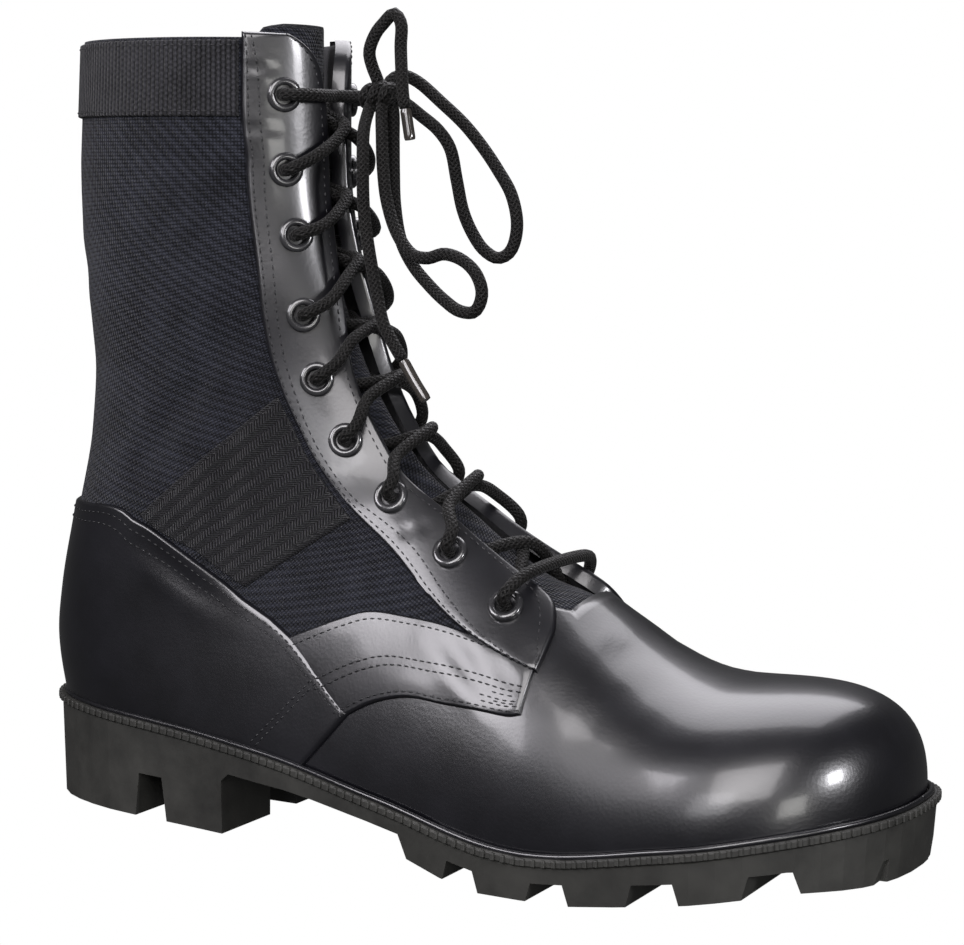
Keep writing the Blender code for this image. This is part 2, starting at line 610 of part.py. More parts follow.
def make_outsole(group, cutters, look):
    """Rubber outsole: a lofted block with a stepped rim, cut by the waist, notches and channels."""
    top = lambda x: seat_height(x) - GAP
    bm = bmesh.new()
    loft(bm, [
        plan_loop(WELT - SIDE_DRAFT, tread_height),
        plan_loop(WELT, lambda x: seat_height(x) - RIB_HEIGHT),
        plan_loop(WELT + RIB_STEP, lambda x: seat_height(x) - RIB_HEIGHT + RIB_STEP),
        plan_loop(WELT + RIB_STEP, lambda x: top(x) - RIB_STEP),
        plan_loop(WELT, top),
    ])
    bmesh.ops.recalc_face_normals(bm, faces=bm.faces)
    sole = add_object("outsole", bm, group, look)
    wide = BALL_WIDTH
    cut(sole, hide_cutter(meshed([side_prism("waist", waist_outline(), -wide, wide, cutters)], "waist_space", cutters)))
    heel_roof = lambda x: HEEL_NOTCH_HEIGHT
    prisms = []
    for rear, front in FOREFOOT_NOTCHES:
        prisms.append(side_prism("notch", notch_outline(rear, front), -wide, -SPINE_HALF_WIDTH, cutters))
        prisms.append(side_prism("notch", notch_outline(rear, front), SPINE_HALF_WIDTH, wide, cutters))
    for low_y, high_y in ((-wide, -SPINE_HALF_WIDTH), (SPINE_HALF_WIDTH, wide)):
        prisms.append(side_prism("notch", notch_outline(*HEEL_NOTCH, heel_roof), low_y, high_y, cutters))
    cut(sole, hide_cutter(meshed(prisms, "lug_notches", cutters)))
    channels = []
    for (_, rear), (front, _) in zip(FOREFOOT_NOTCHES, FOREFOOT_NOTCHES[1:]):
        middle, half = (rear + front) / 2, 0.02
        channels.append(side_prism("channel", notch_outline(middle - half, middle + half),
                                   -CHANNEL_HALF_WIDTH, CHANNEL_HALF_WIDTH, cutters))
    x0, x1 = float(along_to_x(HEEL_NOTCH[0])), float(along_to_x(HEEL_BREAST)) + 0.001
    heel = [(x0, -0.01), (x0, HEEL_NOTCH_HEIGHT), (x1, HEEL_NOTCH_HEIGHT), (x1, -0.01)]
    channels.append(side_prism("channel", heel, -CHANNEL_HALF_WIDTH, CHANNEL_HALF_WIDTH, cutters))
    cut(sole, hide_cutter(meshed(channels, "tread_channels", cutters)))
    return sole


UPPER_TOP = 2.955


def upper_stations():
    """Rows of the upper, closer together where it bends and at the heel's corner."""
    toe = 1 - np.cos(np.linspace(0, math.pi / 2, 9))
    vamp = np.linspace(1, THROAT_STATION, 4)[1:]
    instep = np.linspace(THROAT_STATION, HEEL_STATION, 9)[1:-1]
    corner = HEEL_STATION + np.array([-0.012, 0.0, 0.02])
    ankle = np.linspace(HEEL_STATION + 0.06, 2.0, 7)
    return np.concatenate([toe, vamp, instep, corner, ankle, np.linspace(2.0, UPPER_TOP, 4)[1:]])


def throat_angle(station):
    """Angle of the throat's edge; ahead of the throat, of the line that carries it on to the toe."""
    held = np.maximum(station, THROAT_STATION)
    return gap_angle(held, throat_gap(held) * BALL_WIDTH)


def make_upper(group, cutters, look):
    """Hollow upper with a true wall, open at the collar, the throat and underneath."""
    stations = upper_stations()
    bm = bmesh.new()
    for side in (-1, 1):
        inner, outer = throat_angle(stations), foot_angle(stations, side)
        front = inner[:, None] * np.linspace(0, 1, THROAT_COLUMNS + 1)[None]
        rest = np.linspace(0, 1, UPPER_SIDE_COLUMNS - THROAT_COLUMNS + 1)[None, 1:]
        angles = side * np.concatenate([front, inner[:, None] + (outer - inner)[:, None] * rest], 1)
        points = surface(stations[:, None], angles)
        grid_faces(bm, points, lambda i, j: j >= THROAT_COLUMNS or stations[i] < THROAT_STATION - 1e-6)
    return shell("upper", bm, group, look, WALL, -1)


def make_patch(name, grids, group, look, thickness):
    """Overlay cut from the upper's own function: a sheet over it, thickened outwards."""
    bm = bmesh.new()
    for grid in grids:
        grid_faces(bm, surface(grid[..., 0], grid[..., 1], GAP + FACET))
    return shell(name, bm, group, look, thickness, 1)


def on_side(grid, side):
    """Give a grid's angles a side's sign."""
    return grid * np.array([1.0, side])


def counter_grid(side):
    """Heel counter's half: from the feather line to its upper edge."""
    stations = HEEL_STATION - (HEEL_STATION - COUNTER_FOOT_STATION) * (1 - np.linspace(0, 1, COUNTER_ROWS)) ** 2
    foot = np.stack([stations, foot_angle(stations, side)], 1)
    top = route(in_degrees(COUNTER_TOP), COUNTER_ROWS)
    top[-1] = (COUNTER_TOP[-1][0], math.pi)
    share = np.linspace(COUNTER_CLEAR, 1, 8)[None, :, None]
    return on_side(foot[:, None] * (1 - share) + top[:, None] * share, side)


def band_grid(side):
    """Collar band's half."""
    stations, angles = np.linspace(BAND_LOW, BAND_HIGH, 3), np.radians(np.linspace(BAND_FRONT, 180, 11))
    return on_side(np.stack(np.meshgrid(stations, angles, indexing="ij"), -1), side)


def make_tongue(group, look):
    """Tongue under the throat, with room for the lace over it."""
    read = table(TONGUE)
    stations = np.concatenate([np.linspace(1.10, 2.0, 14), np.linspace(2.0, 3.08, 6)[1:]])
    half, room = np.moveaxis(read(stations), -1, 0)
    bm = bmesh.new()
    for side in (-1, 1):
        angles = side * gap_angle(stations, half * BALL_WIDTH)[:, None] * np.linspace(0, 1, 5)[None]
        lift = -(WALL + GAP + room * (LACE_DIAMETER + GAP))
        grid_faces(bm, surface(stations[:, None], angles, np.broadcast_to(lift[:, None], angles.shape)))
    return shell("tongue", bm, group, look, TONGUE_THICKNESS, -1)


def make_insole(group, look):
    """Insole that lies in the upper's foot."""
    inset = -(WALL + INSOLE_CLEARANCE)
    bm = bmesh.new()
    loft(bm, [plan_loop(inset, seat_height), plan_loop(inset, lambda x: seat_height(x) + INSOLE_THICKNESS)])
    bmesh.ops.recalc_face_normals(bm, faces=bm.faces)
    return add_object("insole", bm, group, look)


def eyelet_places(side):
    """Station and angle of each eyelet of a side, from the top."""
    front, back = np.array(throat_rows()[6:]), np.array(in_degrees(EYESTAY_BACK))
    read_front, read_back = table(front), table(back)
    places = []
    for station, share in EYELETS:
        a, b = float(read_front(station)), float(read_back(station))
        places.append((station, side * (a + (b - a) * share)))
    return places


def seat_matrix(station, angle, lift):
    """Matrix that stands a turned piece on the upper: local +Z along the surface's normal."""
    low, high = surface(station, angle, 0.0), surface(station, angle, 0.01)
    normal = Vector(high - low).normalized()
    turn = normal.to_track_quat("Z", "Y").to_matrix().to_4x4()
    return Matrix.Translation(Vector(low) + normal * lift) @ turn


def eyelet_mesh(look):
    """Turned eyelet: crowned flange over a barrel, by a Screw modifier's profile."""
    bore, barrel, flange = EYELET_BORE / 2, EYELET_BARREL / 2, EYELET_DIAMETER / 2
    length = EYELET_SEAT + EYESTAY + GAP + FACET + WALL + GAP
    profile = [(bore, EYELET_CROWN), (flange - EYELET_ROUND, EYELET_CROWN), (flange, 0.0), (barrel, 0.0),
               (barrel, -length), (bore, -length)]
    bm = bmesh.new()
    verts = [bm.verts.new((r, 0, z)) for r, z in profile]
    for a, b in zip(verts, verts[1:] + verts[:1]):
        bm.edges.new((a, b))
    mesh = bpy.data.meshes.new("eyelet")
    bm.to_mesh(mesh)
    bm.free()
    mesh.materials.append(look)
    return mesh


def make_eyelets(group, cutters, look, pierced):
    """Eyelets on both sides, with their holes through upper and eyestay."""
    mesh = eyelet_mesh(look)
    bm = bmesh.new()
    for side, word in ((-1, "lateral"), (1, "medial")):
        for number, (station, angle) in enumerate(eyelet_places(side), 1):
            made = bpy.data.objects.new(f"eyelet_{word}_{number}", mesh)
            group.objects.link(made)
            made.matrix_world = seat_matrix(station, angle, GAP + FACET + EYESTAY + EYELET_SEAT)
            turn = made.modifiers.new("turn", "SCREW")
            turn.steps = turn.render_steps = EYELET_STEPS
            turn.use_merge_vertices = True
            turn.merge_threshold = 1e-5
            turn.use_smooth_shade = True
            where = seat_matrix(station, angle, 0)
            bmesh.ops.create_cone(bm, cap_ends=True, segments=EYELET_STEPS, radius1=EYELET_HOLE / 2,
                                  radius2=EYELET_HOLE / 2, depth=0.014, matrix=where)
    drills = hide_cutter(add_object("eyelet_holes", bm, cutters))
    for piece in pierced:
        cut(piece, drills)


def lace_half(number, side, reach):
    """Points of a strand from an eyelet's bore over the eyestay's edge to the middle of the throat."""
    station, angle = eyelet_places(side)[number - 1]
    climb = EYELETS[number - 2][0] - station if number > 1 and reach else 0.0
    at_edge, in_middle = station + EDGE_CLIMB * climb, station + MIDDLE_CLIMB * climb
    edge = side * float(table(throat_rows()[6:])(at_edge))
    inside, over, flange, rim, middle = LACE_LIFTS
    return [
        surface(station, angle, inside), surface(station, angle, over),
        surface(station + 0.2 * EDGE_CLIMB * climb, angle + 0.42 * (edge - angle), flange),
        surface(at_edge, edge, rim), surface(in_middle, 0.0, middle),
    ]


def cord_points(rows, diameter):
    """Points of a cord every two and a quarter diameters along the smooth curve through a route."""
    rows = np.asarray(rows, float)
    length = np.linalg.norm(np.diff(rows, axis=0), axis=1).sum()
    return route(rows, max(3, round(length / (2.25 * diameter)) + 1))


def add_cord(name, rows, diameter, group, look):
    """Plain round cord through a route, as a mesh."""
    return meshed([tube(name, cord_points(rows, diameter), diameter, group)], name, group, look)


def make_lace(group, cutters, look, clear):
    """Lace: a strand over the throat at each eyelet, one crossing under it, and the bow with its knot."""
    for number in range(2, len(EYELETS)):
        halves = [lace_half(number, side, True) for side in (-1, 1)]
        middle = (halves[0][-1] + halves[1][-1]) / 2
        rows = np.array(halves[0][:-1] + [middle] + halves[1][-2::-1])
        drawn = tube("strand", route(rows, LACE_POINTS), LACE_DIAMETER, group)
        meshed([drawn], f"lace_crossing_{number}", group, look)
    halves = [lace_half(len(EYELETS), side, False)[:-1] for side in (-1, 1)]
    drawn = tube("strand", route(np.array(halves[0] + halves[1][::-1]), LACE_POINTS), LACE_DIAMETER, group)
    meshed([drawn], "lace_bar", group, look)
    strands = []
    for side in (-1, 1):
        (low, low_angle), (high, high_angle) = eyelet_places(side)[-1], eyelet_places(-side)[-2]
        rows = [surface(low + (high - low) * t, low_angle + (high_angle - low_angle) * t, -LACE_UNDER)
                for t in UNDER_SHARES]
        strands.append(meshed([tube("under", route(rows, 7), LACE_DIAMETER, group)], "under", group, look))
    joined, other = strands
    joined.name = joined.data.name = "lace_under"
    join = joined.modifiers.new("join", "BOOLEAN")
    join.operation = "UNION"
    join.solver = "EXACT"
    join.object = hide_cutter(other)
    group.objects.unlink(other)
    cutters.objects.link(other)
    for side, word, end in ((-1, "lateral", FEED_ENDS[0]), (1, "medial", FEED_ENDS[1])):
        rows = lace_half(1, side, False)[:-1] + [np.array(end) / 1000]
        drawn = tube("feed", route(np.array(rows), FEED_POINTS), LACE_DIAMETER, group)
        meshed([drawn], f"lace_feed_{word}", group, look)
    bm = bmesh.new()
    centre, radii = KNOT
    place = Matrix.Translation(Vector(centre) / 1000) @ Matrix.Diagonal((*(Vector(radii) / 1000), 1.0))
    bmesh.ops.create_uvsphere(bm, u_segments=12, v_segments=6, radius=1.0, matrix=place)
    add_object("lace_knot", bm, group, look)
    for name, rows in (("lace_end_up", END_UP), ("lace_end_down", END_DOWN), ("lace_loop_right", LOOP_RIGHT),
                       ("lace_loop_low", LOOP_LOW)):
        add_cord(name, np.array(rows) / 1000, LACE_DIAMETER, group, look)
    for name, rows in (("aglet_up", AGLET_UP), ("aglet_down", AGLET_DOWN)):
        add_cord(name, np.array(rows) / 1000, AGLET_DIAMETER, group, clear)


def main():
    """Build the boot."""
    for old in list(bpy.data.objects):
        bpy.data.objects.remove(old)
    group, cutters = collection("jungle_boot"), collection("cutters")
    leather = material("black_leather", (0.012, 0.012, 0.014), 0.28)
    canvas = material("black_canvas", (0.020, 0.021, 0.026), 0.85)
    webbing = material("black_webbing", (0.022, 0.022, 0.024), 0.80)
    rubber = material("black_rubber", (0.045, 0.044, 0.040), 0.62)
    lining = material("grey_lining", (0.030, 0.030, 0.033), 0.90)
    brass = material("blackened_metal", (0.050, 0.050, 0.053), 0.30, 1.0)
    cord = material("black_cord", (0.022, 0.020, 0.018), 0.60)
    clear = material("clear_plastic", (0.10, 0.09, 0.08), 0.15)
    make_outsole(group, cutters, rubber)
    upper = make_upper(group, cutters, leather)
    make_insole(group, lining)
    make_tongue(group, canvas)
    make_patch("heel_counter", [counter_grid(-1), counter_grid(1)], group, leather, OVERLAY)
    make_patch("collar_band", [band_grid(-1), band_grid(1)], group, webbing, OVERLAY)
    pierced = [upper]
    for side, word in ((-1, "lateral"), (1, "medial")):
        grid = on_side(patch(throat_rows(), in_degrees(EYESTAY_BACK), 26, 5), side)
        pierced.append(make_patch(f"eyestay_{word}", [grid], group, leather, EYESTAY))
        grid = on_side(patch(in_degrees(WING_TOP), in_degrees(WING_FOOT), 12, 4), side)
        make_patch(f"wing_{word}", [grid], group, leather, OVERLAY)
        grid = on_side(patch(in_degrees(WEBBING_FRONT), in_degrees(WEBBING_REAR), 6, 7), side)
        make_patch(f"ankle_webbing_{word}", [grid], group, webbing, OVERLAY)
    make_eyelets(group, cutters, brass, pierced)
    make_lace(group, cutters, cord, clear)


main()
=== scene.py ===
"""Right jungle boot in its studio: leather and canvas upper, lace with its bow, and lugged rubber sole.

The upper's form is the same function of a station and an angle as in the model that this scene dresses.
"""

import logging
import math
from dataclasses import dataclass
from enum import Enum
from typing import Callable, Sequence

import bmesh
import bpy
import numpy as np
from mathutils import Matrix, Vector


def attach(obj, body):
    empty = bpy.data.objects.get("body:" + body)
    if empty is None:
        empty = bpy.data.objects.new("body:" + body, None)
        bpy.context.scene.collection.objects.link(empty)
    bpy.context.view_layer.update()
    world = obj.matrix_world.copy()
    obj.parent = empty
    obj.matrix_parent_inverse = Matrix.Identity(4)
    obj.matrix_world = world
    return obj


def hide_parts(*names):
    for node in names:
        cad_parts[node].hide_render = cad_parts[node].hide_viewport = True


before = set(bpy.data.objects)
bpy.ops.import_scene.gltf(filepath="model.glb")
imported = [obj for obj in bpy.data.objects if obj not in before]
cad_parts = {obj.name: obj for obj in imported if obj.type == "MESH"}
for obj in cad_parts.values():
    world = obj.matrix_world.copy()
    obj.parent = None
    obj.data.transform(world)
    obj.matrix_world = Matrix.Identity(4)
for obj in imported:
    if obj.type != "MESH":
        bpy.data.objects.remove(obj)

LOG = logging.getLogger("jungle_boot")
LATERAL, MEDIAL = -1, 1
SIDES = ((LATERAL, "lateral"), (MEDIAL, "medial"))
Rows = Sequence[Sequence[float]]
Values = float | np.ndarray
Socket = bpy.types.NodeSocket


class Slot(Enum):
    """Material slots of the record, passed to panels but not read."""

    LEATHER = "black_leather"
    CANVAS = "black_canvas"
    WEBBING = "black_webbing"
    RUBBER = "black_rubber"
    METAL = "blackened_metal"
    CORD = "black_cord"
    CLEAR = "clear_plastic"


def smooth_table(rows: Rows) -> Callable:
    """Read a smooth monotone curve through each column of a table.

    Args:
        rows: rows whose first column is the place to read at.

    Returns:
        A function from places to the other columns.
    """
    grid = np.array(sorted(tuple(row) for row in rows), float)
    xs, ys = grid[:, 0], grid[:, 1:]
    step = np.diff(xs)[:, None]
    slope = np.diff(ys, axis=0) / step
    tangent = np.zeros_like(ys)
    tangent[0], tangent[-1] = slope[0], slope[-1]
    same = slope[1:] * slope[:-1] > 0
    w1, w2 = 2 * step[1:] + step[:-1], step[1:] + 2 * step[:-1]
    with np.errstate(divide="ignore", invalid="ignore"):
        tangent[1:-1] = np.where(same, (w1 + w2) / (w1 / slope[:-1] + w2 / slope[1:]), 0.0)

    def read(x: Values) -> np.ndarray:
        """Read the other columns at places.

        Args:
            x: places to read at.

        Returns:
            The other columns there.
        """
        x = np.clip(np.asarray(x, float), xs[0], xs[-1])
        k = np.clip(np.searchsorted(xs, x, side="right") - 1, 0, len(xs) - 2)
        h = step[k, 0]
        t = ((x - xs[k]) / h)[..., None]
        h = h[..., None]
        value = (1 + 2 * t) * (1 - t) ** 2 * ys[k] + t * (1 - t) ** 2 * h * tangent[k]
        value = value + t * t * (3 - 2 * t) * ys[k + 1] + t * t * (t - 1) * h * tangent[k + 1]
        return value[..., 0] if value.shape[-1] == 1 else value

    return read


def run_along(points: np.ndarray) -> np.ndarray:
    """Length along a line of points up to each of them."""
    return np.concatenate([[0], np.cumsum(np.linalg.norm(np.diff(points, axis=0), axis=1))])


def length_of(points: np.ndarray) -> float:
    """Whole length of a line of points."""
    return float(np.linalg.norm(np.diff(points, axis=0), axis=1).sum())


def spline_route(rows: Rows, count: int) -> np.ndarray:
    """Read evenly spaced points from a smooth curve through rows of points.

    Args:
        rows: points that the curve passes through.
        count: how many points to return.

    Returns:
        The points, count by columns.
    """
    rows = np.asarray(rows, float)
    scale = np.ptp(rows, axis=0).max()
    legs = np.linalg.norm(np.diff(rows, axis=0) / scale, axis=1) ** 0.5
    knots = np.concatenate([[0], np.cumsum(legs)])
    extended = np.concatenate([[2 * rows[0] - rows[1]], rows, [2 * rows[-1] - rows[-2]]])
    spots = np.concatenate([[-legs[0]], knots, [knots[-1] + legs[-1]]])
    out = []
    for t in np.linspace(0, knots[-1], max(30 * len(rows), 2 * count)):
        k = min(max(int(np.searchsorted(knots, t, side="right")) - 1, 0), len(rows) - 2)
        p, s = extended[k:k + 4], spots[k:k + 4]
        a = [p[i] + (p[i + 1] - p[i]) * (t - s[i]) / (s[i + 1] - s[i]) for i in range(3)]
        b = [a[i] + (a[i + 1] - a[i]) * (t - s[i]) / (s[i + 2] - s[i]) for i in range(2)]
        out.append(b[0] + (b[1] - b[0]) * (t - s[1]) / (s[2] - s[1]))
    out = np.array(out)
    length = run_along(out)
    spread = np.linspace(0, length[-1], count)
    return np.stack([np.interp(spread, length, out[:, k]) for k in range(out.shape[1])], 1)


def bisect(test: Callable, low: Values, high: Values, steps: int = 36) -> np.ndarray:
    """Find where a decreasing test passes zero, for arrays of bounds.

    Args:
        test: function that is over zero below the place sought.
        low: places where it is over zero.
        high: places where it isn't.
        steps: how many times to halve.

    Returns:
        The places where it passes zero.
    """
    low, high = np.array(low, float), np.array(high, float)
    for _ in range(steps):
        middle = (low + high) / 2
        above = test(middle) > 0
        low, high = np.where(above, middle, low), np.where(above, high, middle)
    return (low + high) / 2


@dataclass(frozen=True)
class Last:
    """Form of the upper: stations run 0 at the toe tip, 1 at the ball, 2 at the pivot and 3 at the collar.

    Attributes:
        front: front line in side view, as shares of length and height, from the ball up to the collar.
        back: sole line and back line in side view, from the ball round the heel up to the collar.
        sections: station, share of depth at the widest place, half widths and shift as shares of the ball,
            and the powers of the section's front and back.
        feather: place along the sole, and its rise to the heel's seat and to the toe's.
    """

    length: float = 0.308
    height: float = 0.255
    ball: float = 0.0995
    heel_seat: float = 0.035
    ball_seat: float = 0.0133
    toe_seat: float = 0.0309
    welt: float = 0.0035
    front: Rows = (
        (0.812, 0.2443), (0.789, 0.2471), (0.763, 0.2557), (0.731, 0.2737), (0.692, 0.3039),
        (0.627, 0.3569), (0.545, 0.4216), (0.463, 0.4922), (0.403, 0.5961), (0.364, 0.7137),
        (0.346, 0.8431), (0.344, 1.0000),
    )
    back: Rows = (
        (0.812, -0.0235), (0.666, -0.0314), (0.503, -0.0275), (0.308, -0.0118), (0.179, 0.0118),
        (0.097, 0.0314), (0.052, 0.0580), (0.029, 0.0957), (0.0185, 0.1353), (0.009, 0.1973),
        (0.013, 0.2647), (0.029, 0.3631), (0.0513, 0.4851), (0.0575, 0.5918), (0.0474, 0.7063),
        (0.040, 0.8431), (0.0477, 1.0000),
    )
    sections: Rows = (
        (1.00, 0.62, 0.518, 0.477, 0.00, 2.20, 2.20), (1.15, 0.70, 0.516, 0.472, -0.02, 2.15, 2.20),
        (1.30, 0.74, 0.448, 0.398, -0.03, 2.10, 2.20), (1.42, 0.74, 0.374, 0.330, -0.02, 2.00, 2.20),
        (1.52, 0.72, 0.334, 0.314, 0.00, 2.00, 2.20), (1.60, 0.68, 0.317, 0.317, 0.01, 2.00, 2.20),
        (1.72, 0.60, 0.305, 0.305, 0.01, 2.00, 2.20), (1.86, 0.54, 0.320, 0.320, 0.00, 2.00, 2.20),
        (2.00, 0.52, 0.333, 0.333, 0.00, 2.00, 2.10), (3.00, 0.52, 0.341, 0.341, 0.00, 2.00, 2.10),
    )
    toe_tip: float = 0.992
    toe_dip: float = 0.22
    toe_lift: float = 0.12
    toe_side: float = 2.8
    toe_plan: float = 2.35
    toe_taper: float = 0.04
    toe_shift: float = 0.05
    toe_least: float = 0.02
    feather: Rows = (
        (0.000, 1.00, 0.00), (0.211, 0.857, 0.00), (0.357, 0.677, 0.00), (0.503, 0.369, 0.00),
        (0.666, 0.00, 0.00), (0.812, 0.00, 0.386), (0.925, 0.00, 0.79), (1.000, 0.00, 1.00),
    )

    @property
    def pivot(self) -> tuple[float, float]:
        """X and Z of the line that the instep's sections fan about."""
        return (self.front[0][0] - 0.5) * self.length, self.front[-2][1] * self.height

    def line(self, rows: Rows) -> Callable:
        """Distance of a side line from the pivot, by station.

        Args:
            rows: points of the side line, as shares of length and height.

        Returns:
            A function from stations to distances.
        """
        px, pz = self.pivot
        out = []
        for along, up in rows:
            back, down = px - (along - 0.5) * self.length, pz - up * self.height
            if down >= -1e-9:
                out.append((1 + math.atan2(back, down) / (math.pi / 2), math.hypot(back, down)))
            else:
                out.append((2 - down / (self.height - pz), back))
        return smooth_table(out)


LAST = Last()
PIVOT_X, PIVOT_Z = LAST.pivot
FRONT_DISTANCE, BACK_DISTANCE = LAST.line(LAST.front), LAST.line(LAST.back)
SECTION, FEATHER_RISE = smooth_table(LAST.sections), smooth_table(LAST.feather)


def feather_height(x: Values) -> np.ndarray:
    """Height of the line where the upper meets the sole, at an uncentred X.

    Args:
        x: X before the boot is centred.

    Returns:
        Heights over the ground.
    """
    rise = FEATHER_RISE(np.asarray(x, float) / LAST.length + 0.5)
    heel, toe = LAST.heel_seat - LAST.ball_seat, LAST.toe_seat - LAST.ball_seat
    return LAST.ball_seat + heel * rise[..., 0] + toe * rise[..., 1]


def raw_surface(station: Values, angle: Values) -> np.ndarray:
    """Point on the upper's outer face, before the boot is centred.

    Args:
        station: station along the last.
        angle: angle round the section in radians, negative on the lateral side.

    Returns:
        Points in metres.
    """
    station, angle = np.broadcast_arrays(np.asarray(station, float), np.asarray(angle, float))
    held = np.clip(station, 1, 3)
    front, back = FRONT_DISTANCE(held), BACK_DISTANCE(held)
    wide, lateral, medial, shift, front_power, back_power = np.moveaxis(SECTION(held), -1, 0)
    ball = LAST.ball
    lateral, medial, shift = lateral * ball, medial * ball, shift * ball
    middle = front + (back - front) * wide
    toe = station < 1
    t = np.where(toe, np.sin((1 - station) * math.pi / 2), 0.0)
    toe_x = PIVOT_X + ((LAST.toe_tip - 0.5) * LAST.length - PIVOT_X) * t
    seat, ball_seat = feather_height(toe_x), feather_height(PIVOT_X)
    side = np.clip(1 - t ** LAST.toe_side, 0, 1) ** (1 / LAST.toe_side)
    plan = np.clip(1 - t ** LAST.toe_plan, 0, 1) ** (1 / LAST.toe_plan)
    top = (PIVOT_Z - front - ball_seat) * (1 - LAST.toe_dip * t + LAST.toe_lift * t * t)
    front = np.where(toe, PIVOT_Z - seat - top * side, front)
    middle = np.where(toe, PIVOT_Z - seat - (PIVOT_Z - middle - ball_seat) * side, middle)
    least = np.maximum(side, LAST.toe_least)
    back = np.where(toe, PIVOT_Z - seat - (PIVOT_Z - back - ball_seat) * least, back)
    lateral = np.where(toe, (lateral - LAST.toe_taper * ball * t) * plan, lateral)
    medial = np.where(toe, (medial - LAST.toe_taper * ball * t) * plan, medial)
    shift = shift + (LAST.toe_shift * ball - shift) * t ** 2
    cos, sin = np.cos(angle), np.sin(angle)
    power = np.where(cos > 0, front_power, back_power)
    depth = np.where(cos > 0, middle - front, back - middle)
    reach = middle - depth * np.sign(cos) * np.abs(cos) ** (2 / power)
    across = shift + np.where(sin < 0, lateral, medial) * np.sign(sin) * np.abs(sin) ** (2 / power)
    lean = np.clip(station - 1, 0, 1) * math.pi / 2
    rise = np.maximum(station - 2, 0) * (LAST.height - PIVOT_Z)
    x = np.where(toe, toe_x, PIVOT_X - reach * np.sin(lean))
    return np.stack([x, across, PIVOT_Z - reach * np.cos(lean) + rise], -1)


def over_feather(station: Values, angle: Values) -> np.ndarray:
    """Height of the upper's face over the feather line."""
    point = raw_surface(station, angle)
    return point[..., 2] - feather_height(point[..., 0])


def foot_angle(station: Values, side: int) -> np.ndarray:
    """Angle, without sign, at which a section reaches the feather line, or 180 degrees.

    Args:
        station: station along the last.
        side: LATERAL or MEDIAL.

    Returns:
        Angles in radians.
    """
    station = np.asarray(station, float)
    found = bisect(lambda a: over_feather(station, side * a), np.full(station.shape, 0.3),
                   np.full(station.shape, math.pi))
    return np.where(over_feather(station, side * math.pi) > 0, math.pi, found)


HEEL_STATION = float(bisect(lambda s: -over_feather(s, math.pi), 1.45, 1.75))


def raw_outline(steps: int) -> np.ndarray:
    """Feather line in plan from the toe tip along the lateral side to the heel and back.

    Args:
        steps: about how many points each side gets.

    Returns:
        The outline's points in plan.
    """
    toe = np.linspace(0, 1, steps // 3 + 1)[1:]
    rest = 1 + (HEEL_STATION - 1) * (1 - (1 - np.linspace(0, 1, steps * 2 // 3 + 1)) ** 2)
    stations = np.concatenate([toe, rest[1:-1]])
    sides = [raw_surface(stations, side * foot_angle(stations, side))[:, :2] for side in (LATERAL, MEDIAL)]
    ends = raw_surface(0.0, 0.0)[None, :2], raw_surface(HEEL_STATION, math.pi)[None, :2]
    return np.concatenate([ends[0], sides[0], ends[1], sides[1][::-1]])


def grow(loop: np.ndarray, width: float) -> np.ndarray:
    """Move a closed plan outline outwards by a width.

    Args:
        loop: points of the outline.
        width: how far it moves.

    Returns:
        The new outline's points.
    """
    tangent = np.roll(loop, -1, 0) - np.roll(loop, 1, 0)
    tangent = tangent / np.linalg.norm(tangent, axis=1)[:, None]
    return loop - np.stack([tangent[:, 1], -tangent[:, 0]], 1) * width


SOLE_EDGE = grow(raw_outline(36), LAST.welt)
CENTRE = (SOLE_EDGE.max(0) + SOLE_EDGE.min(0)) / 2

# Soft creases, placed one by one: start station and angle, end station and angle, half width and depth in mm
CREASES: Rows = (
    (1.115, -14, 1.170, -52, 3.4, 0.22), (1.060, -22, 1.120, -58, 3.6, 0.18),
    (1.165, -8, 1.205, -40, 2.6, 0.20), (1.225, -57, 1.330, -49, 3.6, 0.60),
    (1.210, -52, 1.262, -48, 2.8, 0.40), (1.560, -70, 1.720, -64, 4.0, 0.70),
    (1.800, -62, 1.700, -96, 4.5, 0.80), (1.900, -150, 1.960, -96, 5.0, 0.70),
    (2.120, -70, 2.180, -120, 5.0, 0.50), (1.640, -86, 1.560, -72, 3.5, 0.60),
    (2.280, -56, 2.060, -62, 3.5, 0.50), (2.700, -38, 2.730, -47, 1.6, 0.20),
    (2.230, -36, 2.250, -47, 1.8, 0.16), (1.935, -33, 1.950, -46, 1.8, 0.18),
    (1.560, -24, 1.590, -36, 2.0, 0.22), (1.450, -28, 1.470, -37, 2.0, 0.22),
    (1.110, 16, 1.170, 54, 3.4, 0.22), (1.265, 50, 1.345, 61, 3.4, 0.80),
    (1.800, 62, 1.700, 96, 4.5, 0.80), (1.900, 150, 1.960, 96, 5.0, 0.70),
    (2.120, 70, 2.180, 120, 5.0, 0.50),
)
# Ridge beside a crease: its height as a share of the crease's depth, and its place in half widths
RIDGE_HEIGHT, RIDGE_PLACE = 0.55, 1.7
# Where a crease's fade starts in a half wave, and how much of the wave it takes
FADE = (0.12, 0.76)


